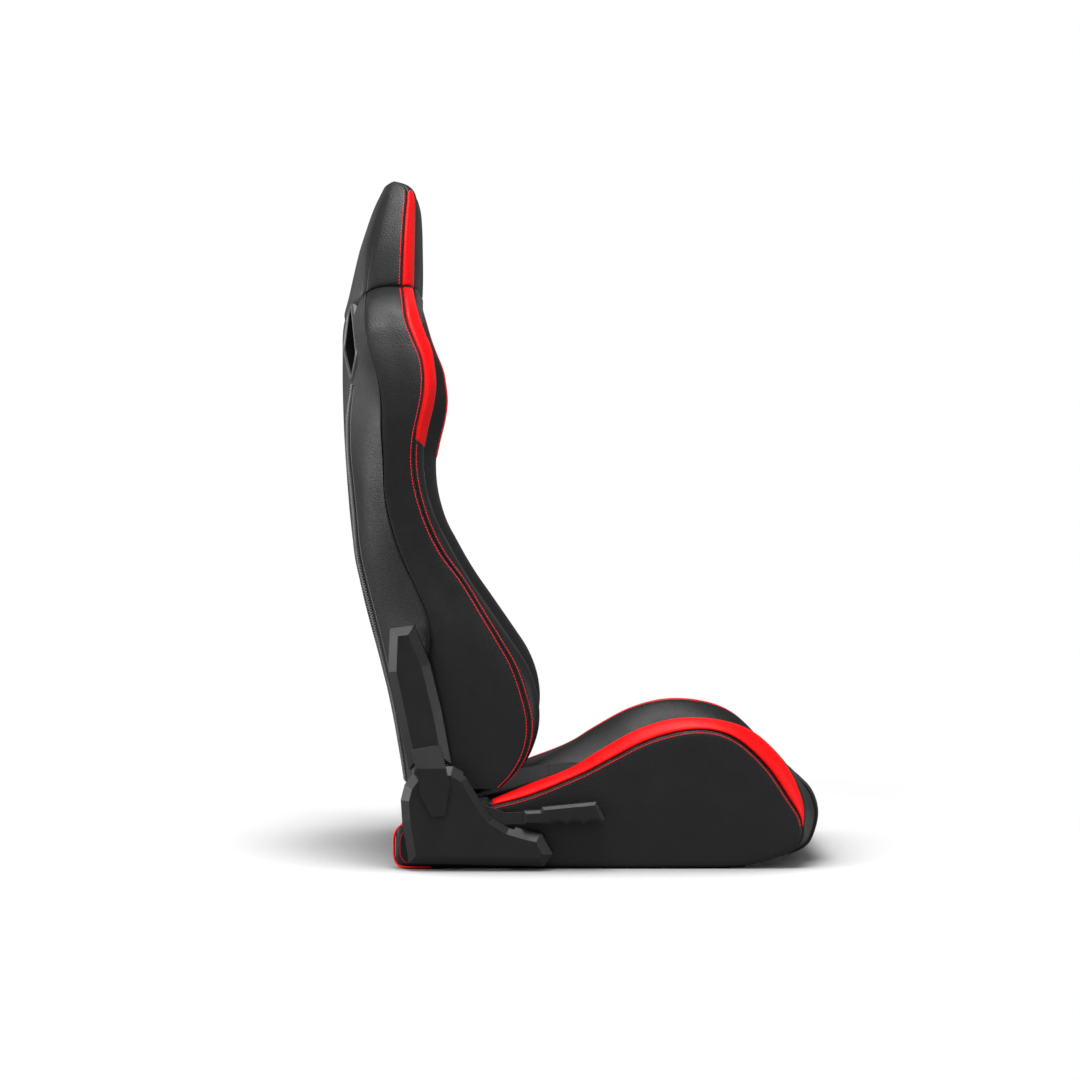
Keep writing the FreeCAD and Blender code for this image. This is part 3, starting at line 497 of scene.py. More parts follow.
# Scales of the leather's patterns: its pebbles, creases, patches of tone, and pores.
PEBBLES, CREASES, PATCHES, PORES = 560, 34, 9, 2600


def leather(name, colour, rough=0.42, gleam=0.3, spread=0.18, painted_seam_shade=0.75):
    """Coated leather: pebbled grain, soft creases, slight changes of tone and gloss, and painted shade
    that darkens its seams and creases.
    """
    material, tree, shader, where = nodes_of(name)
    grain = {"Vector": where, "Scale": PEBBLES, "Smoothness": 0.5}
    cells = add(tree, "TexVoronoi", grain, feature="SMOOTH_F1").outputs["Distance"]
    soft = noise(tree, where, CREASES, 4, 0.6)
    body, _ = clouded(tree, where, PATCHES, colour, spread)
    body = mixed(tree, ranged(tree, cells, 0.1, 0.75, 0, 1), shade(colour, 1.12), body)
    # Painted shade: ambient occlusion within 6 mm darkens the colour in seams and creases and dims their
    # gloss; the last argument sets how dark.
    painted_shade_ao = add(tree, "AmbientOcclusion", {"Distance": 0.006}, samples=4).outputs["AO"]
    clear = ranged(tree, painted_shade_ao, 0.45, 0.95, 0, 1)
    first = bump(tree, soft, 0.25, 0.0011)
    second = bump(tree, cells, 0.6, -0.00036, first)
    feed(tree, shader, {
        "Base Color": mixed(tree, clear, shade(colour, 1 - painted_seam_shade), body),
        "Roughness": ranged(tree, soft, 0.25, 0.75, rough - 0.06, rough + 0.08),
        "Specular IOR Level": ranged(tree, clear, 0, 1, (1 - painted_seam_shade) * gleam, gleam),
        "Normal": bump(tree, noise(tree, where, PORES, 2), 0.12, 0.00006, second),
    })
    return material


def fabric(name, colour):
    """A close woven cloth: crossing sets of threads, with a soft sheen."""
    material, tree, shader, where = nodes_of(name)
    threads = []
    for turn in ((0.0, 0.0, 0.0), (0.0, math.pi / 2, 0.0), (0.0, 0.0, math.pi / 2)):
        turned = add(tree, "Mapping", {"Vector": where, "Rotation": turn}).outputs["Vector"]
        wave = {"Vector": turned, "Scale": 150, "Distortion": 2.0, "Detail Scale": 3}
        threads.append(add(tree, "TexWave", wave).outputs["Fac"])
    over = add(tree, "Math", {0: threads[0], 1: threads[1]}, operation="MAXIMUM").outputs[0]
    weave = add(tree, "Math", {0: over, 1: threads[2]}, operation="MULTIPLY").outputs[0]
    body, _ = clouded(tree, where, 14, colour, 0.15)
    feed(tree, shader, {
        "Base Color": mixed(tree, ranged(tree, weave, 0, 0.8, 0, 1), shade(colour, 0.7), body),
        "Roughness": 0.82,
        "Specular IOR Level": 0.25,
        "Sheen Weight": 0.08,
        "Sheen Roughness": 0.45,
        "Normal": bump(tree, weave, 0.3, 0.0003),
    })
    return material


def hard(
    name, colour, rough, metal=0.0, grain=0.12, scale=1500, wear=0.35, edge=0.0009, coat=0.0, gleam=0.35
):
    """Moulded plastic or metal: rounded, worn edges and a fine texture."""
    material, tree, shader, where = nodes_of(name)
    rounded = add(tree, "Bevel", {"Radius": edge}, samples=4).outputs["Normal"]
    flat = add(tree, "NewGeometry").outputs["Normal"]
    facing = add(tree, "VectorMath", {0: rounded, 1: flat}, operation="DOT_PRODUCT")
    rubbed = ranged(tree, facing.outputs["Value"], 0.995, 0.9, 0, wear)
    body, patches = clouded(tree, where, 22, colour, 0.12, 4, 0.65)
    worn = tuple(min(1, c * 1.8 + 0.02) for c in colour)
    feed(tree, shader, {
        "Base Color": mixed(tree, rubbed, body, worn),
        "Metallic": metal,
        "Coat Weight": coat,
        "Specular IOR Level": gleam,
        "Roughness": ranged(tree, patches, 0.25, 0.75, rough - 0.05, rough + 0.07),
        "Normal": bump(tree, noise(tree, where, scale, 3), grain, 0.00018, rounded),
    })
    return material


BLACK = leather("black_leather", (0.009, 0.009, 0.0094))
RED = leather("red_leather", (0.84, 0.001, 0.002), gleam=0.2, spread=0.06)
CLOTH = fabric("black_cloth", (0.012, 0.012, 0.0125))
# The threads get none of the leather's painted seam shade.
THREAD = leather("red_thread", (0.88, 0.02, 0.03), rough=0.6, gleam=0.15, spread=0.05, painted_seam_shade=0)
GREY_THREAD = leather("grey_thread", (0.22, 0.22, 0.225), rough=0.6, spread=0.05, painted_seam_shade=0)
COVER = hard("moulded_cover", (0.0085, 0.0085, 0.009), 0.4, wear=0.4, gleam=0.34)
TRIM = hard("slot_trim", (0.04, 0.04, 0.042), 0.32, wear=0.3, gleam=0.6)
# Painted shade: the slot's sleeve is a near-black, dull copy of the trim's plastic, so the hole through
# the back reads dark.
SHADED_SLEEVE = hard("slot_sleeve_painted_shade", (0.003, 0.003, 0.003), 0.9, wear=0.0, gleam=0.04)
PAINTED = hard("painted_steel", (0.009, 0.009, 0.0094), 0.36, grain=0.06, scale=500, coat=0.15)
ZINC = hard("zinc_steel", (0.32, 0.32, 0.33), 0.42, metal=1.0, grain=0.05, scale=900, wear=0.2)
RUBBER = hard("elastic_web", (0.022, 0.022, 0.023), 0.7, grain=0.4, scale=700, wear=0.0)
TEETH = hard("zip_teeth", (0.24, 0.24, 0.245), 0.4, wear=0.2, edge=0.0002, gleam=0.4)


# The backrest's lines, by height

HALF = through([
    (100, 242), (330, 243), (375, 240), (420, 239), (460, 241), (500, 245), (540, 252.5), (580, 259),
    (620, 261.5), (660, 259.5), (705, 250), (735, 238), (765, 215), (780, 189), (788, 165), (794, 147),
])
CREST_Y = through([
    (100, 222), (330, 224), (560, 225), (640, 227), (705, 222), (735, 210), (765, 188), (780, 163),
    (788, 141), (794, 124),
])
CREST_X = through([
    (100, -152), (106, -144), (124, -124), (144, -108), (165, -98), (185, -92), (205, -90), (225, -91.4),
    (253, -98), (280, -110), (307, -128), (334, -147), (361, -166), (388, -185), (415, -202), (442, -217),
    (469, -231), (496, -240), (523, -245.6), (545, -247.5), (569, -247), (594, -242), (624, -234.5),
    (654, -231), (677, -233), (700, -237), (723, -246), (745, -254), (770, -261), (794, -267),
])
CENTRE_X = through([
    (98, -161), (152, -158), (205, -164), (275, -182), (334, -205), (415, -235), (496, -258), (540, -266),
    (585, -271), (654, -272), (723, -268), (755, -266), (794, -266),
])
SEAM_Y = through([(100, 150), (580, 150), (605, 144), (655, 110), (680, 105), (794, 105)])
SEAM_DROP = through([(100, 8), (580, 8), (680, 3), (794, 3)])
SIDE_X = through([
    (100, -157), (105.5, -147), (115, -136), (142, -116), (175.5, -105), (200, -104.5), (233, -112),
    (275, -127), (310, -147), (346, -169), (388, -195), (423, -221), (455.5, -238), (489, -250),
    (523, -257.5), (556, -259.5), (582, -257), (610, -251), (630, -247), (650, -245), (673, -246),
    (691, -250), (707, -257), (721.5, -263), (738, -269), (758, -272.5), (778, -276), (794, -280),
])
CREASE_X = through([
    (100, -256), (200, -248), (280, -240), (305, -238), (336, -241), (375, -257), (419, -277),
    (466, -292), (509, -300), (549.5, -301), (590, -303), (630, -304), (668, -310), (687, -316),
    (704, -321), (724, -325), (744, -327), (779, -328), (794, -330),
])
REAR_X = through([
    (97, -280), (120, -284), (155, -290), (190, -296), (225, -303), (260, -310), (295, -319), (330, -329),
    (372, -340), (414, -349), (456, -356), (498, -360), (540, -363), (582, -365.5), (638, -367.5),
    (666, -368), (715, -368), (743, -368.3), (771, -367.5), (794, -365.5),
])
ZIP_X = through([
    (100, -272), (133, -277), (174, -284), (222, -293), (263.5, -303.5), (305, -314), (339, -323),
    (387, -335), (414.5, -341), (483, -347), (524, -351), (552, -354), (579, -355), (607, -355),
    (659, -349), (700, -346), (740, -348), (770, -349), (794, -347),
])
ZIP_Y = through([
    (100, 170), (560, 170), (620, 165), (665, 157), (705, 155), (735, 151), (765, 139), (780, 126),
    (794, 105),
])
BULGE = through([(100, 5), (600, 5), (680, -1), (750, -1), (794, 3)])
INNER_A = through([(100, 0.37), (560, 0.37), (660, -0.12), (794, 0.1)])
INNER_B = through([(100, 0.80), (560, 0.80), (660, 0.46), (794, 0.6)])
FALL = through([(100, 0), (640, 0), (720, 0.35), (794, 1)])
STRIPE_END, BACK_LOW, BACK_TOP, INSERT_LOW = 576, 107, 794, 93

# Near the headrest's seam a row dips towards the rear: from which X, over what run at the most, and how
# deep it is at a given run.
DIP_FROM, DIP_MOST, DIP_RUN, DIP = -282, 76, 68, 26


def tilted(z, points, fall=FALL):
    """Puts (y, x) points at a height that falls towards the rear near the headrest's seam."""
    y, x = points.T
    return np.array([x, y, z - fall(z) * DIP * (np.clip(DIP_FROM - x, 0, DIP_MOST) / DIP_RUN) ** 3]).T


def on_side(hand, fall=FALL):
    """A function that puts a row's (y, x) points on one side of the seat."""
    return lambda z, points: tilted(z, points, fall) * (1, hand, 1)


# The centre pad's thickness and the depth of its side, and how far and over what height its foot curls.
INSERT_THICK, INSERT_SIDE = 27, 17
CURL, CURL_HEIGHT = 9, 16


def insert_section(z):
    """The centre pad: a low crown in front that fades upwards, and sides tucked under the bolsters."""
    y, x = SEAM_Y(z), CENTRE_X(z) - CURL * rolled(z - INSERT_LOW, CURL_HEIGHT)
    tuck = 7 * ramp(z, 600, 540) - 2
    rise = 4 - 3.2 * ramp(z, 640, 740)
    half = [(0, x + rise), (y * 0.5, x + rise * 1.2), (y, x - SEAM_DROP(z)), (y + tuck, x - INSERT_SIDE)]
    half += [(y * 0.6, x - INSERT_THICK + 1), (0, x - INSERT_THICK)]
    return mirrored_section(half), lambda points: tilted(z, points)


# Shares of the way: two points from the seam to the crest, then one from the crest to the side.
INNER_Y_A, INNER_Y_B = 0.31, 0.68
OUTER_Y, OUTER_X = 0.66, 0.30


def bolster_controls(z):
    """The bolster's seen points: from its seam with the centre pad over the crest to the crease."""
    half, crest_y, crest_x = HALF(z), CREST_Y(z), CREST_X(z)
    seam_y, seam_x = SEAM_Y(z), CENTRE_X(z) - SEAM_DROP(z)
    side_x, crease_x = SIDE_X(z), CREASE_X(z)
    reach, rise = crest_y - seam_y, crest_x - seam_x
    points = [(seam_y, seam_x), (seam_y + INNER_Y_A * reach, seam_x + INNER_A(z) * rise)]
    points += [(seam_y + INNER_Y_B * reach, seam_x + INNER_B(z) * rise), (crest_y, crest_x)]
    points += [(crest_y + OUTER_Y * (half - crest_y), crest_x + OUTER_X * (side_x - crest_x))]
    points += [(half - 0.5, side_x), (half + 0.8, (side_x + crease_x) / 2), (half - 1, crease_x)]
    return points


def bolster_section(hand):
    """The whole ring of one bolster: its seen points, then back to the seam inside the seat."""
    def section(z):
        points = bolster_controls(z)
        (seam_y, seam_x), (half, crease_x) = points[0], points[-1]
        points += [(half - 6, crease_x - 1), (half - 20, crease_x + 3)]
        points += [(seam_y + 14, seam_x - 14), (seam_y + 3, seam_x - 10), points[0]]
        return [(hand * y, x) for y, x in points], lambda p: tilted(z, p)

    return section


# The rear panel's thickness, the half width that it is scaled to, and shares of the way from the
# crease to the zip.
SKIN, SKIN_HALF = 5, 240
FACET_Y, FACET_X = 0.42, 0.46


def rear_controls(z):
    """The rear panel's seen points: from the middle over the zip to the crease."""
    half, crease_x = HALF(z) - 1, CREASE_X(z)
    zip_y, zip_x, rear, bulge = ZIP_Y(z), ZIP_X(z), REAR_X(z), BULGE(z)
    facet_y = half + FACET_Y * (zip_y - half) + bulge * 0.5
    facet_x = crease_x + FACET_X * (zip_x - crease_x) - bulge * 0.6
    return [(0, rear), (zip_y * 0.55, rear + 0.5), (zip_y, zip_x), (facet_y, facet_x), (half, crease_x)]


def rear_section(z):
    half = rear_controls(z)
    inner = [(y * (1 - SKIN / SKIN_HALF), x + SKIN) for y, x in half[:-1]]
    inner.append((half[-1][0] - 4, half[-1][1] - 1.5))
    return mirrored_section(half + inner[::-1]), lambda points: tilted(z, points)


# Depths of the seams: round the backrest's and the seat's centre pads, and beside a stripe.
BACK_SEAM, SEAT_SEAM, STRIPE_SEAM = 3.2, 3.4, 2.2
CREASE = through([(100, 0), (330, 0), (400, 0.3), (480, 0.7), (640, 0.9), (794, 0.9)])


def stripe_depth(z):
    """The stripe's front seam: it runs down from the headrest to the stripe's end."""
    return STRIPE_SEAM * ramp(z, STRIPE_END - 8, STRIPE_END + 2)


CHANNELS = (180, 262, 344, 426, 508, 590, 672, 745)
CHANNEL_DEPTH, CHANNEL_ROLL = 2.4, 8


def channels(stops, puff, half_gap, travel=np.array):
    """Seams across a piece at the given rows, the cloth puffed up over half_gap to either side."""
    def lift(rows):
        distance = np.abs(travel(rows)[:, None] - travel(stops)[None, :]).min(1)
        raised = puff * np.sqrt(np.clip(distance / half_gap, 0, 1))
        return raised - CHANNEL_DEPTH * rolled(distance, CHANNEL_ROLL)

    return lift


back_rows = row_places(BACK_LOW, BACK_TOP, 5.5, (HALF, CREST_X), (STRIPE_END,))
insert_rows = row_places(INSERT_LOW, BACK_TOP, 6, (CENTRE_X,), CHANNELS)

back_insert = padded_piece(
    "back_insert",
    insert_rows,
    insert_section,
    mirrored_panels([Panel(0, 2, 14, (0, BACK_SEAM))], [Panel(2, 8, 12, hidden=True)]),
    CLOTH,
    channels(CHANNELS, puff=1.6, half_gap=41),
)
rear_shell = padded_piece(
    "rear_shell",
    back_rows,
    rear_section,
    mirrored_panels(
        [Panel(0, 2, 12, (0, 1.0), 1.0), Panel(2, 4, 6, (1.0, CREASE), 1.0)],
        [Panel(4, 14, 40, hidden=True)],
    ),
    BLACK,
)
back_bolsters = {}
for side, hand in HANDS:
    back_bolsters[side] = padded_piece(
        f"back_bolster_{side}",
        back_rows,
        bolster_section(hand),
        [
            Panel(0, 3, 10, (BACK_SEAM, stripe_depth), 1.5),
            Panel(3, 5, 0, (stripe_depth, STRIPE_SEAM)),
            Panel(5, 7, 8, (STRIPE_SEAM, CREASE), 1.0),
            Panel(7, 12, 8, hidden=True),
        ],
        BLACK,
    )


# The headrest

HEAD_HALF = through([
    (770, 150), (800, 149.5), (825, 145), (850, 139), (885, 126.5), (915, 113), (930, 104.5), (938, 98),
    (943, 91), (945.5, 84),
])
HEAD_FRONT = through([
    (770, -263), (820, -262.8), (860, -263), (900, -263.5), (916, -264.5), (927, -267), (936, -271.5),
    (940, -278), (943.5, -289), (945.5, -297),
])
HEAD_REAR = through([
    (770, -368), (790, -366), (826, -351), (861, -337.3), (900, -324.5), (925, -315.5), (936, -311),
    (942, -308), (945.5, -304),
])
HEAD_OUTER = through([
    (770, -266), (825, -265.6), (860, -265.4), (901, -265.2), (915, -265.4), (927, -267.4), (936, -272),
    (940, -278), (943.5, -289), (945.5, -296.5),
])
HEAD_SEAM = through([
    (770, -280.5), (796, -279.6), (844, -278.3), (878, -277), (906, -275.5), (922, -275), (934, -277.5),
    (940, -283), (943.5, -291), (945.5, -298),
])
HEAD_CREASE = through([
    (770, -334), (789, -331), (827, -326), (850, -321), (878, -315), (899, -310), (922, -304.5),
    (936, -301.5), (943, -300.5), (945.5, -300),
])
HEAD_BEND = through([(790, 0.34), (850, 0.7)])
HEAD_FALL = through([(770, 1), (795, 1), (840, 0.35), (890, 0), (946, 0)])
HEAD_LOW, HEAD_TOP = 790, 945.5


def head_controls(z):
    """The headrest's half section, from the middle in front to the middle behind."""
    half, front, rear = HEAD_HALF(z), HEAD_FRONT(z), HEAD_REAR(z)
    outer, seam, crease = HEAD_OUTER(z), HEAD_SEAM(z), HEAD_CREASE(z)
    share = (HEAD_TOP - z) / (HEAD_TOP - HEAD_LOW)
    edge = 6 + 36 * min(1, share * 3)
    points = [(0, front), (half * 0.5, front + 0.5), (half - edge, outer)]
    points += [(half - edge * 0.28, outer + 0.3 * (seam - outer)), (half, seam)]
    points += [(half + 0.5, (seam + crease) / 2), (half - 3, crease)]
    points += [(half - 14, crease + HEAD_BEND(z) * (rear - crease)), (half * 0.5, rear), (0, rear)]
    return points


def head_section(z):
    return mirrored_section(head_controls(z)), lambda points: tilted(z, points, HEAD_FALL)


def fading(depth):
    """A seam's depth, which fades out where the headrest closes over."""
    return lambda z: depth * ramp(z, HEAD_TOP - 4, HEAD_TOP - 18)


INNER_SEAM, OUTER_SEAM, REAR_SEAM = fading(2.2), fading(2.4), fading(0.6)
head_rows = row_places(HEAD_LOW, HEAD_TOP, 5, (HEAD_HALF, HEAD_FRONT, HEAD_REAR))
head_rows = np.append(head_rows[head_rows < HEAD_TOP - 0.3], HEAD_TOP)
headrest = padded_piece(
    "headrest",
    head_rows,
    head_section,
    mirrored_panels([
        Panel(0, 2, 8, (0, INNER_SEAM), 1.0),
        Panel(2, 4, 0, (INNER_SEAM, OUTER_SEAM)),
        Panel(4, 6, 3, (OUTER_SEAM, REAR_SEAM), 0.6),
        Panel(6, 9, 8, (REAR_SEAM, 0), 0.6),
    ]),
    BLACK,
    lambda rows: -2.6 * rolled(rows - HEAD_LOW, 7),
)


# The seat's lines, by station from the rear forward and round the nose

SEAT_CREST = rail([
    (-160, 93), (-112, 110), (-63, 128), (-36, 141), (-9, 158), (45, 187), (99, 201), (155, 198),
    (201, 181), (238, 145), (262, 104), (270, 76), (266, 48), (258, 33), (246, 20),
])
SEAT_EDGE = rail([
    (-158, 84), (-105, 98), (-50, 120), (-20, 134), (10, 150), (52, 171), (99, 184.5), (140, 186),
    (176, 173), (214.5, 138), (243, 97), (259.5, 70), (263, 46), (256, 31), (245, 21),
])
SEAT_INNER = rail([
    (-200, 80), (-148, 90), (-100, 101), (-60, 105), (-9, 107), (45, 110.5), (99, 116), (150, 120.5),
    (200, 122), (249, 117), (276, 101), (289, 68), (281, 33), (269, 20), (251, 12),
])
STATIONS, SEAT_SEAM_Y, SEAT_CREST_Y, SEAT_HALF = 14, 165, 225, 249.5

# The steps that a line is measured in, and half the step that gives its direction, in stations.
FINE_STEPS, HALF_STEP = 800, 0.05


def travel_of(line, stations):
    """How far along a line of the seat the stations lie."""
    return travelled(np.array([line(t) for t in stations]))


def station_rows(step, low=0, high=STATIONS, stops=()):
    """Stations at even steps along the crest."""
    fine = np.linspace(low, high, FINE_STEPS)
    path = travel_of(SEAT_CREST, fine)
    return stepped(fine, path, step, stops, path)


def inward(line, t):
    """The direction into the pad, square to its profile."""
    run = unit(line(min(t + HALF_STEP, STATIONS)) - line(max(t - HALF_STEP, 0)))
    return np.array((run[1], -run[0]))


def cushion_section(t):
    """The centre cushion, in (y, depth) points under its profile."""
    base, way = SEAT_INNER(t), inward(SEAT_INNER, t)
    half = [(0, -6), (84, -6), (SEAT_SEAM_Y, 0), (SEAT_SEAM_Y - 4, 11), (SEAT_SEAM_Y * 0.6, 25), (0, 26)]

    def place(points):
        y, depth = points.T
        return np.array([base[0] + way[0] * depth, y, base[1] + way[1] * depth]).T

    return mirrored_section(half), place


def seat_bolster_section(hand):
    """One seat bolster: from its seam over the crest to its outer edge, and back under the leather."""
    def section(t):
        seam, crest, edge = SEAT_INNER(t), SEAT_CREST(t), SEAT_EDGE(t)
        way, low = inward(SEAT_INNER, t), inward(SEAT_EDGE, t)
        ring = [(SEAT_SEAM_Y, seam), (184, seam + 0.42 * (crest - seam))]
        ring += [(204, seam + 0.80 * (crest - seam)), (SEAT_CREST_Y, crest)]
        ring += [(SEAT_CREST_Y + 16, crest + 0.32 * (edge - crest)), (SEAT_HALF - 1, edge)]
        ring += [(SEAT_HALF - 6, edge + 5 * low), (SEAT_HALF - 22, edge + 8 * low)]
        ring += [(SEAT_SEAM_Y + 12, seam + 16 * way), (SEAT_SEAM_Y + 3, seam + 10 * way), ring[0]]
        return [(x, hand * y, z) for y, (x, z) in ring], lambda p: p

    return section


def seat_stripe_depth(t):
    """The stripe's upper seam fades where the stripe comes to its points."""
    return STRIPE_SEAM * ramp(t, 0, 1.5) * ramp(t, 11.6, 10.4)


def cushion_travel(rows):
    """How far along the cushion's profile its rows lie."""
    fine = np.linspace(0, STATIONS, FINE_STEPS)
    return np.interp(rows, fine, travel_of(SEAT_INNER, fine))


SEAT_CHANNELS = (2.6, 4.0, 5.3, 6.6, 7.9)
cushion = padded_piece(
    "seat_cushion",
    station_rows(6, stops=SEAT_CHANNELS),
    cushion_section,
    mirrored_panels([Panel(0, 2, 16, (0, SEAT_SEAM))], [Panel(2, 8, 12, hidden=True)]),
    CLOTH,
    channels(SEAT_CHANNELS, puff=1.4, half_gap=30, travel=cushion_travel),
)
seat_bolsters = {}
for side, hand in HANDS:
    seat_bolsters[side] = padded_piece(
        f"seat_bolster_{side}",
        station_rows(5.5),
        seat_bolster_section(hand),
        [
            Panel(0, 3, 9, (SEAT_SEAM, seat_stripe_depth), 1.5),
            Panel(3, 5, 1, (seat_stripe_depth, 3.0)),
            Panel(5, 10, 8, hidden=True),
        ],
        BLACK,
    )


# The seat's side panels: one padded sheet each, sewn on under the stripe.

SIDE_REAR_TOP = [(-284, 50), (-281, 55.5), (-274, 58.5), (-245, 59), (-205, 61), (-180, 73)]
SIDE_LOW = [(-284, 12), (-281, 5), (-272, 1.5), (-200, 1), (-60, 1), (80, 1), (152, 2), (190, 5)]
SIDE_LOW += [(214, 10), (232, 16.5), (245, 21)]
# The station where the panel ends under the nose, its rows, and how much they crowd together there.
SIDE_END, SIDE_ROWS, CROWDING = 13.6, 120, 0.92
# How far the panel stands out, how deep and over what width its edge rolls in, and how much fuller it
# gets over what distance from there.
SIDE_OUT, SIDE_DROP, SIDE_ROLL, SIDE_FULL, SIDE_REACH = SEAT_HALF + 1.2, 5, 9, 2.2, 90


def side_panel(hand, name):
    """A sheet between its upper and its lower line: rolled in at its edge, and full in its middle."""
    edge = [SEAT_EDGE(t) for t in np.linspace(0, SIDE_END, 300)]
    top, low = even(np.concatenate([dense(SIDE_REAR_TOP), edge]), 1.0), even(dense(SIDE_LOW), 1.0)
    share = np.linspace(0, 1, SIDE_ROWS)
    uppers = spots_at(top, np.linspace(0, 1, len(top)), share ** CROWDING)
    lowers = spots_at(low, np.linspace(0, 1, len(low)), share)
    flat = []
    for a, b in zip(uppers, lowers):
        length = max(np.linalg.norm(b - a), 4)
        v = panel_places(length, 14)[:, None] / length
        flat.append(a * (1 - v) + b * v)
    flat = np.array(flat)
    outline = np.concatenate([top, low[::-1]])[::3]
    distance = np.linalg.norm(flat[:, :, None] - outline, axis=3).min(2)
    distance[[0, -1], :] = 0
    distance[:, [0, -1]] = 0
    out = SIDE_OUT - SIDE_DROP * rolled(distance, SIDE_ROLL) + SIDE_FULL * ramp(distance, 0, SIDE_REACH)
    sheets = [
        np.stack([flat[..., 0], hand * y, flat[..., 1]], axis=2)
        for y in (out, np.minimum(SEAT_HALF - 10, out - 3))
    ]
    pad = two_sided(name, *sheets, BLACK)
    face_out(pad, lambda bm: bmesh.ops.remove_doubles(bm, verts=bm.verts, dist=0.00005))
    return pad


side_panels = {side: side_panel(hand, f"seat_side_{side}") for side, hand in HANDS}


# The padded ledge and wall at the seat's rear.

REAR_OUT = [(-196, 58.5), (-240, 58.8), (-268, 58.8), (-279.5, 55.5), (-284.5, 46), (-285, 30), (-284, 13)]
REAR_OUT += [(-279.5, 4), (-270, 1.2)]
REAR_IN = [(-268, 5), (-276, 9), (-279, 20), (-279, 40), (-273, 52), (-240, 54.5), (-197, 54.5)]
# The ledge's half width, and how deep and over what width its ends roll in.
REAR_HALF, REAR_DROP, REAR_ROLL = 236, 3.2, 8


def rear_cover_section(y):
    """The ledge's profile at one place across the seat, lower where its ends roll in."""
    fall = REAR_DROP * rolled(REAR_HALF - abs(y), REAR_ROLL)
    points = [(x + fall * 0.7 * (x < -275), z - fall * (z > 50)) for x, z in REAR_OUT] + REAR_IN
    return points + points[:1], lambda p: np.array([p[:, 0], np.full(len(p), y), p[:, 1]]).T


seat_rear = padded_piece(
    "seat_rear_cover",
    np.concatenate([-REAR_HALF + NEAR, np.linspace(-222, 222, 60), REAR_HALF - NEAR[::-1]]),
    rear_cover_section,
    [Panel(0, 2, 4), Panel(2, 8, 8, crown=0.5), Panel(8, 16, 14, hidden=True)],
    BLACK,
)


# Finishing the pads

swell()
for obj, _ in pads:
    subdivide(obj)
    close_ends(obj)
for obj in side_panels.values():
    subdivide(obj)


def rides(obj, body, nodes=()):
    """Attaches a piece to its body, and hides the CAD nodes that it replaces."""
    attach(obj, body)
    if nodes:
        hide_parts(*nodes)


rides(back_insert, "backrest", ["backrest_center_pad"])
rides(rear_shell, "backrest", ["rear_panel"])
rides(headrest, "backrest", ["headrest_pad"])
rides(cushion, "seat_base", ["seat_center_cushion"])
rides(seat_rear, "seat_base", ["seat_rear_cover"])
for side, _ in HANDS:
    rides(back_bolsters[side], "backrest", [f"backrest_bolster_{side}"])
    rides(seat_bolsters[side], "seat_base", [f"seat_bolster_{side}"])
    rides(side_panels[side], "seat_base", ())


# Laying things on the pads


def surface_of(*objects):
    """The final surfaces of some objects, to lay things on."""
    bm = bmesh.new()
    for obj in objects:
        bm.from_mesh(obj.data)
    tree = BVHTree.FromBMesh(bm)
    bm.free()
    return tree


def laid(surface, dots, lift):
    """Dots moved onto a surface, and the surface's normals there."""
    places, ups = [], []
    for dot in dots:
        spot, normal, _, _ = surface.find_nearest(Vector(dot) * MM)
        places.append(np.array(spot) / MM + np.array(normal) * lift)
        ups.append(np.array(normal))
    return np.array(places), np.array(ups)


# Stripes: red panels sewn in between two seams

ACROSS = np.array([0, 0.05, 0.11, 0.2, 0.35, 0.5, 0.65, 0.8, 0.89, 0.95, 1.0])
# How far a stripe stands out, its thickness, and how deep and over what width its edges roll in.
PROUD, THICK, EDGE_DROP, EDGE_ROLL = 0.9, 3.0, 2.8, 4.5


def section_strip(controls, mark, width, rows, place):
    """Points from a mark of the section to the second one after it. width(v) gives each row's shares
    of that way, where v goes from 0 at the first row to 1 at the last."""
    grid = []
    for n, row in enumerate(rows):
        dots = dense(controls(row))
        path = travelled(dots)
        start, end = path[mark * PER], path[(mark + 2) * PER]
        at = start + width(n / (len(rows) - 1)) * (end - start)
        grid.append(place(row, spots_at(dots, path, at)))
    return np.array(grid)


def stripe(name, body, grid, inside):
    """A thin closed pad over a grid, facing away from a place inside the seat."""
    normal = normals_of(grid, False, inside)
    down = travelled(grid[:, grid.shape[1] // 2])
    sideways = np.cumsum(np.linalg.norm(np.diff(grid, axis=1, prepend=grid[:, :1]), axis=2), axis=1)
    edge = np.minimum(sideways, sideways[:, -1:] - sideways)
    end = np.minimum(down, down[-1] - down)[:, None]
    lift = PROUD - EDGE_DROP * rolled(np.minimum(edge, end), EDGE_ROLL)
    pad = two_sided(name, grid + normal * lift[..., None], grid - normal * THICK, RED)
    face_out(pad)
    subdivide(pad)
    rides(pad, body, ())


def full(_):
    return ACROSS


def rounded_top(v):
    """Narrows in a round over the last tenth, towards a place 0.6 of the way across."""
    keep = math.sqrt(1 - np.clip(1 - (1 - v) / 0.1, 0.0, 0.995) ** 2)
    return 0.6 + (ACROSS - 0.6) * keep


def pointed(v):
    """Comes down to half its width at the rear, and to a point in front."""
    keep = (0.5 + 0.5 * ramp(v, 0, 0.12)) * ramp(v, 1, 0.88) ** 0.7
    return 1 - (1 - ACROSS) * keep


def slanted(hand):
    """Like on_side, but the stripe's lower end is cut at a slant."""
    place = on_side(hand)

    def slant(z, points):
        drop = np.linspace(-6, 6, len(points)) * ramp(z, 620, 570)
        return place(z, points) + np.outer(drop, (0, 0, 1))

    return slant


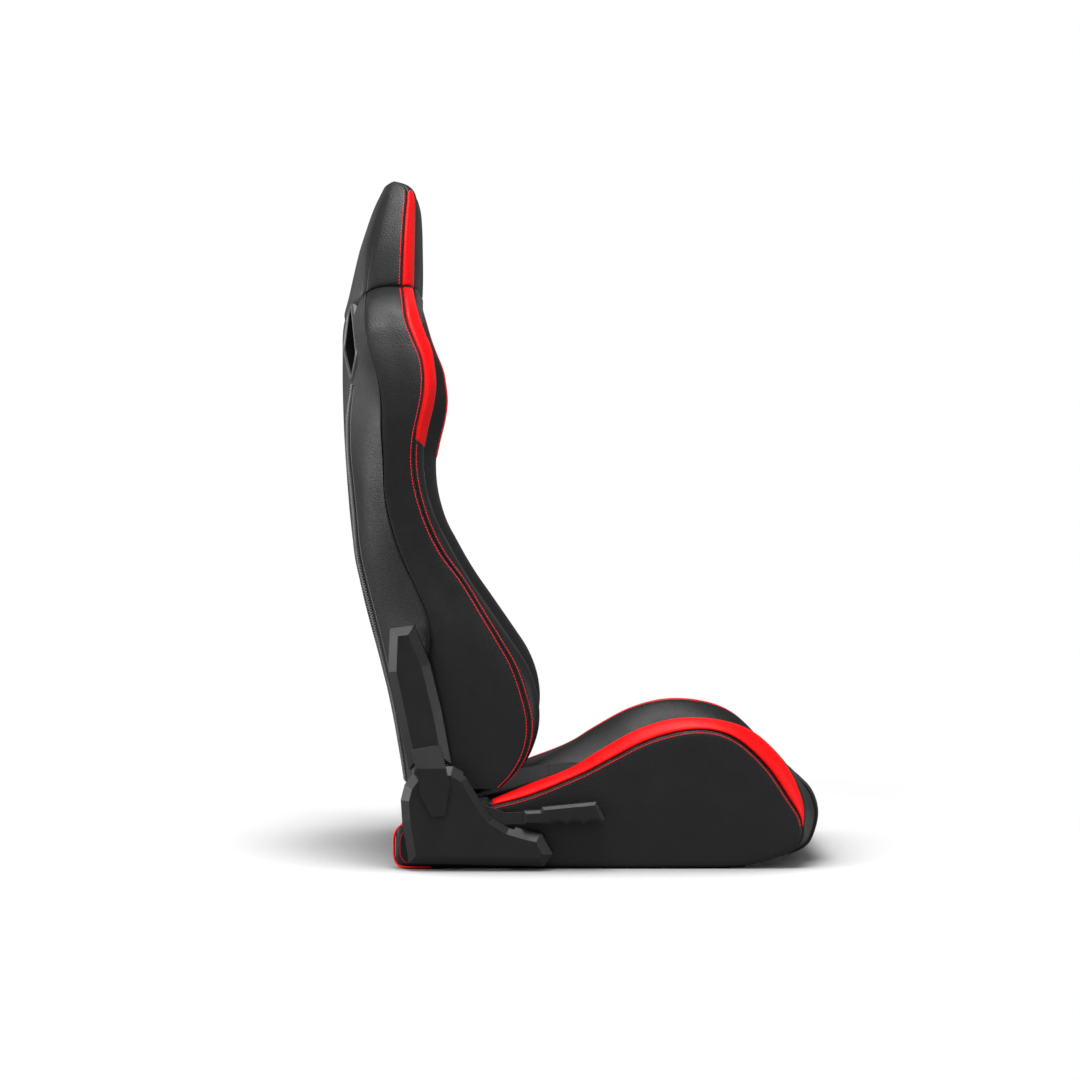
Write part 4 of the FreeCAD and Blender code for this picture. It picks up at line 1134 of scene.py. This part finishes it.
# The height where the headrest's stripe and stitches end, and the station where the seat's stripe does.
HEAD_END, SEAT_END = 934, 11.55
shoulder_rows = np.concatenate(
    [STRIPE_END - 6 + NEAR[:-1], np.linspace(STRIPE_END + 4, BACK_TOP - 1.5, 60)]
)
for side, hand in HANDS:
    grid = section_strip(bolster_controls, 3, full, shoulder_rows, slanted(hand))
    stripe(f"shoulder_stripe_{side}", "backrest", grid, (-290, hand * 180, 680))
    rows = np.linspace(HEAD_LOW + 1.5, HEAD_END, 50)
    grid = section_strip(head_controls, 2, rounded_top, rows, on_side(hand, HEAD_FALL))
    stripe(f"headrest_stripe_{side}", "backrest", grid, (-310, hand * 60, 860))
    section, rows = seat_bolster_section(hand), station_rows(6, 0.02, SEAT_END)
    grid = section_strip(lambda t: section(t)[0], 3, pointed, rows, lambda t, points: points)
    stripe(f"seat_stripe_{side}", "seat_base", grid, (50, hand * 200, 60))


# Stitches. STITCH holds a stitch's rings: place in half lengths, then size and height in radii.

STITCH = [(-1.0, 0.3, -0.7), (-0.8, 0.8, -0.25), (-0.35, 1.0, 0.1), (0.35, 1.0, 0.1), (0.8, 0.8, -0.25)]
STITCH += [(1.0, 0.3, -0.7)]
STITCH_SIDES, STITCH_LIFT, LINE_STEP = 6, 0.12, 3.0


def circle(side, up, sides):
    """Points at even steps round a circle of radius 1."""
    angles = np.arange(sides) * 2 * math.pi / sides
    return np.outer(np.cos(angles), side) + np.outer(np.sin(angles), up)


def stitches(name, body, dots, surface, material=THREAD, pitch=4.4, length=4.2, radius=0.55):
    """A row of single stitches along a line, each one sinking into the leather at its ends."""
    dots = even(even(np.asarray(dots, float), 2.0), pitch / 2)
    spots, ups = laid(surface, dots, STITCH_LIFT)
    rings, faces = [], []
    for k in range(1, len(spots) - 1, 2):
        run = unit(spots[k + 1] - spots[k - 1])
        side = unit(np.cross(ups[k], run))
        up = np.cross(run, side)
        faces += prism(len(rings) * STITCH_SIDES, len(STITCH), STITCH_SIDES)
        for a, size, height in STITCH:
            centre = spots[k] + run * a * length / 2 + up * height * radius
            rings.append(centre + radius * size * circle(side, up, STITCH_SIDES))
    row = new_object(name, rings, faces, material)
    face_out(row)
    rides(row, body)


def beside(controls, mark, distance, low, high, place):
    """A line at a distance past a mark of the section, on its smooth surface."""
    line = []
    for row in np.arange(low, high, LINE_STEP):
        dots = dense(controls(row))
        path = travelled(dots)
        line.append(place(row, spots_at(dots, path, [path[mark * PER] + distance]))[0])
    return line


def seat_line(hand):
    """The stitch line under the seat's stripe, closer to it towards its point."""
    line = []
    for t in np.linspace(0.1, 11.5, 165):
        gap = 3.7 - 1.5 * ramp(t, 10, 11.5)
        x, z = SEAT_EDGE(t) + inward(SEAT_EDGE, t) * gap
        line.append((x, hand * (SEAT_HALF + 2), z))
    return line


# The distances of the stitch lines from the bolster's side seam and from the headrest's, and the
# heights between which the zips run.
BESIDE_SIDE, BESIDE_HEAD = 4.2, 5.0
ZIP_LOW, ZIP_TOP = 112, 658
for side, hand in HANDS:
    wing, skirt = surface_of(back_bolsters[side]), surface_of(side_panels[side])
    back, head = on_side(hand), on_side(hand, HEAD_FALL)
    line = beside(bolster_controls, 5, BESIDE_SIDE, BACK_LOW + 1, BACK_TOP - 3, back)
    stitches(f"stitch_side_{side}", "backrest", line, wing)
    line = beside(bolster_controls, 5, -BESIDE_SIDE, BACK_LOW + 1, STRIPE_END - 4, back)
    stitches(f"stitch_front_{side}", "backrest", line, wing)
    line = beside(head_controls, 4, BESIDE_HEAD, HEAD_LOW + 4, HEAD_END, head)
    stitches(f"stitch_head_{side}", "backrest", line, surface_of(headrest))
    stitches(f"stitch_seat_{side}", "seat_base", seat_line(hand), skirt)
    rows = np.arange(ZIP_LOW - 2, ZIP_TOP - 3, LINE_STEP)
    line = [(ZIP_X(z) + 7.5, hand * (ZIP_Y(z) + 13), z) for z in rows]
    stitches(f"stitch_rear_{side}", "backrest", line, surface_of(rear_shell), GREY_THREAD, radius=0.5)


# Piping, zips and slot surrounds

PIPE = [(-208, 61.2), (-245, 60.6), (-271, 59.8), (-281, 54), (-285.8, 44), (-286.3, 30), (-285.3, 14)]
PIPE += [(-281, 5.8), (-272, 2.3), (-236, 2.1)]
PIPE_RADIUS, PIPE_LOWEST, PIPE_SIDES, PIPE_TIP = 1.8, 2.1, 10, 0.45
PIPE_STITCH = [(-246, 53), (-266, 52.5), (-273.5, 49), (-277.3, 42), (-278, 30), (-277, 17)]
PIPE_STITCH += [(-272, 10), (-262, 8)]


def pipe_out(z):
    """How far out the piping lies: further along the floor than up the corner."""
    return 250.3 if z < 4 else 246 if z < 8 else 244


def piping(side, hand):
    """A round cord round the ledge's end, narrower and closed at its tips."""
    dots = dense([(x, hand * pipe_out(z), z) for x, z in PIPE])
    dots[:, 2] = np.maximum(dots[:, 2], PIPE_LOWEST)
    dots = even(dots, 3.0)
    runs = unit(np.gradient(dots, axis=0))
    sizes = np.full(len(dots), PIPE_RADIUS)
    sizes[[0, -1]] *= PIPE_TIP
    flank = np.cross(runs[0], (0, 0, 1))
    rings = []
    for dot, run, size in zip(dots, runs, sizes):
        flank = unit(flank - run * (flank @ run))
        rings.append(dot + size * circle(flank, np.cross(run, flank), PIPE_SIDES))
    cord = new_object(f"piping_{side}", rings, quads(len(rings), PIPE_SIDES, True), RED)
    close_ends(cord)
    rides(cord, "seat_base", [f"rear_piping_{side}"])


for side, hand in HANDS:
    piping(side, hand)
    dots = dense([(x, hand * (SEAT_HALF + 2), z) for x, z in PIPE_STITCH])
    skirt = surface_of(side_panels[side])
    stitches(f"stitch_corner_{side}", "seat_base", dots, skirt, pitch=3.6, length=3.0, radius=0.45)


# A zip tooth's profile: places sideways and outwards. Then its half thickness and the teeth's pitch.
TOOTH = [(-0.9, -0.6), (3.1, -0.6), (3.3, 0.4), (2.5, 1.1), (-0.3, 1.1), (-0.9, 0.5)]
TOOTH_HALF, TOOTH_PITCH = 0.55, 1.8
TAPE = [(-4.6, -4.6), (4.6, -4.6), (4.6, -0.5), (-4.6, -0.5)]
# The zip's distances from the seam and over the facet, and how far it turns to the rear.
ZIP_ASIDE, ZIP_OVER, ZIP_TURN = 4.4, 1.7, 0.6


def zip_lie(hand, z):
    """A spot on the back's facet beside the zip's seam, and the way the teeth face there."""
    _, _, seam, facet, _ = rear_controls(z)
    run = unit(np.subtract(facet, seam))
    y, x = seam + ZIP_ASIDE * run
    up = unit(np.array((-run[0], hand * (run[1] + ZIP_TURN), 0)))
    return np.array((x, hand * y, z)) + ZIP_OVER * up, up


def zip_teeth(side, hand):
    """A closed zip along the seam of the back: a tape, and two rows of teeth that mesh."""
    lies = [zip_lie(hand, z) for z in np.arange(ZIP_LOW, ZIP_TOP, TOOTH_PITCH)]
    points, faces, tape = [], [], []
    for k in range(1, len(lies) - 1):
        spot, up = lies[k]
        run = unit(lies[k + 1][0] - lies[k - 1][0])
        sideways = np.cross(up, run)
        way = sideways * (1 if k % 2 else -1)
        faces += prism(len(points), 2, len(TOOTH))
        for a in (-TOOTH_HALF, TOOTH_HALF):
            points += [spot + run * a + way * b + up * c for b, c in TOOTH]
        tape.append([spot + sideways * b + up * c for b, c in TAPE])
    teeth = new_object(f"zip_{side}", points, faces, TEETH, smooth=False)
    face_out(teeth)
    band = new_object(f"zip_tape_{side}", tape, quads(len(tape), len(TAPE), True), CLOTH, smooth=False)
    close_ends(band)
    for obj in (teeth, band):
        rides(obj, "backrest")


for side, hand in HANDS:
    zip_teeth(side, hand)


# The harness slot's corners in (y, z), clockwise. Their radius, and the cut's growth and reach in X.
# Then the surround's two rims, as (growth of the outline, place along X) pairs.
SLOT = [(115, 754), (125, 766), (175, 699), (155, 665), (116, 709)]
SLOT_CORNER, CUT_GROW, CUT_FROM, CUT_TO = 6, -0.5, -420, -180
RIM_REAR = [(5.0, 2.0), (5.2, -0.8), (4.2, -2.6), (2.4, -3.4), (0.2, -3.0), (-1.6, -1.2), (-2.4, 3.0)]
RIM_FRONT = [(-2.4, -3.0), (-1.6, 1.0), (0.2, 2.2), (2.2, 2.4), (3.8, 1.4), (4.6, -0.6), (4.4, -3.0)]


def rounded_outline(grow, radius=SLOT_CORNER, steps=5):
    """The slot's outline grown outwards, with its corners rounded."""
    corners = np.array(SLOT, float)
    run_y, run_z = unit(np.roll(corners, -1, 0) - corners).T
    out = np.stack([-run_z, run_y], axis=1)
    before = np.roll(out, 1, 0)
    moved = corners + grow * (before + out) / (1 + (before * out).sum(1, keepdims=True))
    ring = []
    for n, point in enumerate(moved):
        back, ahead = moved[n - 1] - point, moved[(n + 1) % len(moved)] - point
        reach = min(radius, 0.4 * np.linalg.norm(back), 0.4 * np.linalg.norm(ahead))
        for s in np.linspace(0, 1, steps):
            a, b = point + unit(back) * reach * (1 - s), point + unit(ahead) * reach * s
            ring.append(a * (1 - s) + b * s)
    return np.array(ring)


def slot_cutter(side, hand):
    """A prism through the backrest, a little smaller than the slot's outline."""
    rows = [[(x, hand * y, z) for y, z in rounded_outline(CUT_GROW)] for x in (CUT_FROM, CUT_TO)]
    obj = new_object(f"cutter_{side}", rows, quads(2, len(rows[0]), True), BLACK)
    close_ends(obj)
    return obj


def cut(obj, cutter):
    knife = obj.modifiers.new("cut", "BOOLEAN")
    knife.operation, knife.solver, knife.object = "DIFFERENCE", "EXACT", cutter
    apply_modifiers(obj)


def front_plane(surface, hand):
    """The X of a plane laid through the backrest's front round the slot, from y and z."""
    hits = []
    for y, z in rounded_outline(7):
        spot, _, _, _ = surface.ray_cast(Vector((-150, hand * y, z)) * MM, Vector((-1, 0, 0)))
        if spot is not None:
            hits.append((y, z, 1, spot.x / MM))
    hits = np.array(hits)
    fit, *_ = np.linalg.lstsq(hits[:, :3], hits[:, 3], rcond=None)
    return lambda y, z: fit[0] * y + fit[1] * z + fit[2]


def rear_plane(y, z):
    """The X of the back's facet round the slot: it leans more above the slot's inner corner."""
    return -361.5 + 0.36 * (y - 115) + (0.13 if z > 709 else 0.03) * (z - 709)


def bezel(side, hand, front_surface):
    """A moulded surround: a rounded rim behind, a sleeve through the back, and a rim in front."""
    rows = []
    for rim, plane in ((RIM_REAR, rear_plane), (RIM_FRONT, front_plane(front_surface, hand))):
        for grow, out in rim:
            ring = rounded_outline(grow, SLOT_CORNER + min(grow, 2))
            rows.append([(plane(y, z) + out, hand * y, z) for y, z in ring])
    count = len(rows[0])
    last = (len(rows) - 1) * count
    faces = quads(len(rows), count, True)
    faces += [(last + j, last + (j + 1) % count, (j + 1) % count, j) for j in range(count)]
    obj = new_object(f"slot_surround_{side}", rows, faces, TRIM)
    # The sleeve's faces take the painted-shade copy of the trim.
    obj.data.materials.append(SHADED_SLEEVE)
    for k in range((len(RIM_REAR) - 2) * count, (len(RIM_REAR) + 1) * count):
        obj.data.polygons[k].material_index = 1
    face_out(obj)
    subdivide(obj)
    rides(obj, "backrest", [f"harness_bezel_{side}"])


for side, hand in HANDS:
    front_before = surface_of(back_bolsters[side], back_insert)
    cutter = slot_cutter(side, hand)
    cut(rear_shell, cutter)
    cut(back_bolsters[side], cutter)
    bpy.data.objects.remove(cutter)
    bezel(side, hand, front_before)


# The CAD nodes' materials

SLOT_MATERIALS = {
    "frame_steel": PAINTED,
    "zinc_steel": ZINC,
    "lever_steel": PAINTED,
    "cover_plastic": COVER,
    "elastic": RUBBER,
    "upholstery": BLACK,
}
for entry in frame["record"]["subparts"]:
    for place in frame["nodes"][entry["node"]].material_slots:
        place.material = SLOT_MATERIALS[entry["material_slot"]]


# Floor, light and camera

WHITE, FLOOR_HALF = (1, 1, 1, 1), 60000


def floor_material():
    """White paper: it takes the object's shadow and a painted shadow from ambient occlusion nearby, and is
    plain white further off.
    """
    material, tree, shader, where = nodes_of("floor_white")
    seen = add(tree, "LightPath").outputs["Is Camera Ray"]
    squeezed = add(tree, "VectorMath", {0: where, 1: (1, 0.55, 1)}, operation="MULTIPLY").outputs[0]
    far = add(tree, "VectorMath", {0: squeezed}, operation="LENGTH").outputs["Value"]
    off = {0: ranged(tree, far, 0.42, 0.8, 0, 1), 1: seen}
    # Painted shadow: ambient occlusion darkens the paper's colour near the object, as a soft contact
    # shadow.
    painted_shade_ao = add(tree, "AmbientOcclusion", {"Distance": 0.5}, samples=12).outputs["AO"]
    clear = ranged(tree, painted_shade_ao, 0.5, 0.97, 0, 1)
    shadowed_paper = mixed(tree, clear, (0.42, 0.42, 0.42), (0.95, 0.95, 0.95))
    shadowed_paper = mixed(tree, seen, (0.32, 0.32, 0.32), shadowed_paper)
    feed(tree, shader, {"Base Color": shadowed_paper, "Roughness": 0.7, "Specular IOR Level": 0.1})
    share = add(tree, "Math", off, operation="MULTIPLY").outputs[0]
    blended(tree, share, shader, add(tree, "Emission", {"Color": WHITE}), "Material Output")
    return material


def floor():
    size = FLOOR_HALF
    points = [(-size, -size, 0), (size, -size, 0), (size, size, 0), (-size, size, 0)]
    return new_object("floor", points, [(0, 1, 2, 3)], floor_material(), smooth=False)


def studio():
    """A world that lights dimly from all round, and that the camera sees as plain white."""
    world = bpy.data.worlds.new("studio")
    world.use_nodes = True
    tree = world.node_tree
    dim = tree.nodes["Background"]
    feed(tree, dim, {"Color": WHITE, "Strength": 0.25})
    bright = add(tree, "Background", {"Color": WHITE, "Strength": 1.0})
    path = add(tree, "LightPath").outputs
    rays = {0: path["Is Camera Ray"], 1: path["Is Transmission Ray"]}
    shown = add(tree, "Math", rays, operation="MAXIMUM").outputs[0]
    blended(tree, shown, dim, bright, "World Output")
    return world


floor()
bpy.context.scene.world = studio()

# Area lamps: name, place, aim and size in metres, and power in watts.
LAMPS = [
    ("front", (0.9, -3.4, 2.0), (-0.1, -0.1, 0.4), (1.8, 1.2), 21),
    ("key", (-0.4, -2.3, 2.9), (-0.15, -0.1, 0.45), (1.8, 1.2), 16),
    ("above", (0, -1.3, 3.2), (-0.15, 0, 0.4), (1.6, 1.2), 76),
    ("top", (-0.4, 0, 3.2), (-0.2, 0, 0.4), (1.6, 1.6), 28),
    ("left", (-2.9, -0.3, 0.9), (-0.25, -0.1, 0.5), (1.4, 1.4), 52),
    ("front_left", (-2.4, -2.2, 1.3), (-0.25, -0.1, 0.5), (1.4, 1.4), 16),
    ("rear_left", (-2.4, 1.6, 1.5), (-0.25, -0.1, 0.5), (1.4, 1.4), 6),
    ("front_low", (2.6, -1.2, 0.5), (0.1, -0.1, 0.15), (1.0, 0.8), 16),
]
for name, place, aim, size, power in LAMPS:
    light = bpy.data.lights.new(name, "AREA")
    light.shape, light.energy = "RECTANGLE", power
    light.size, light.size_y = size
    lamp = placed(name, light)
    lamp.location = place
    lamp.rotation_euler = (Vector(aim) - Vector(place)).to_track_quat("-Z", "Y").to_euler()

lens = bpy.data.cameras.new("camera")
lens.sensor_width, lens.lens = 36, 91.8
camera = placed("camera", lens)
camera.location = (-0.09, -3.95, 0.442)
camera.rotation_euler = (math.pi / 2, 0, 0)
bpy.context.scene.camera = camera
bpy.context.scene.view_settings.view_transform = "Standard"
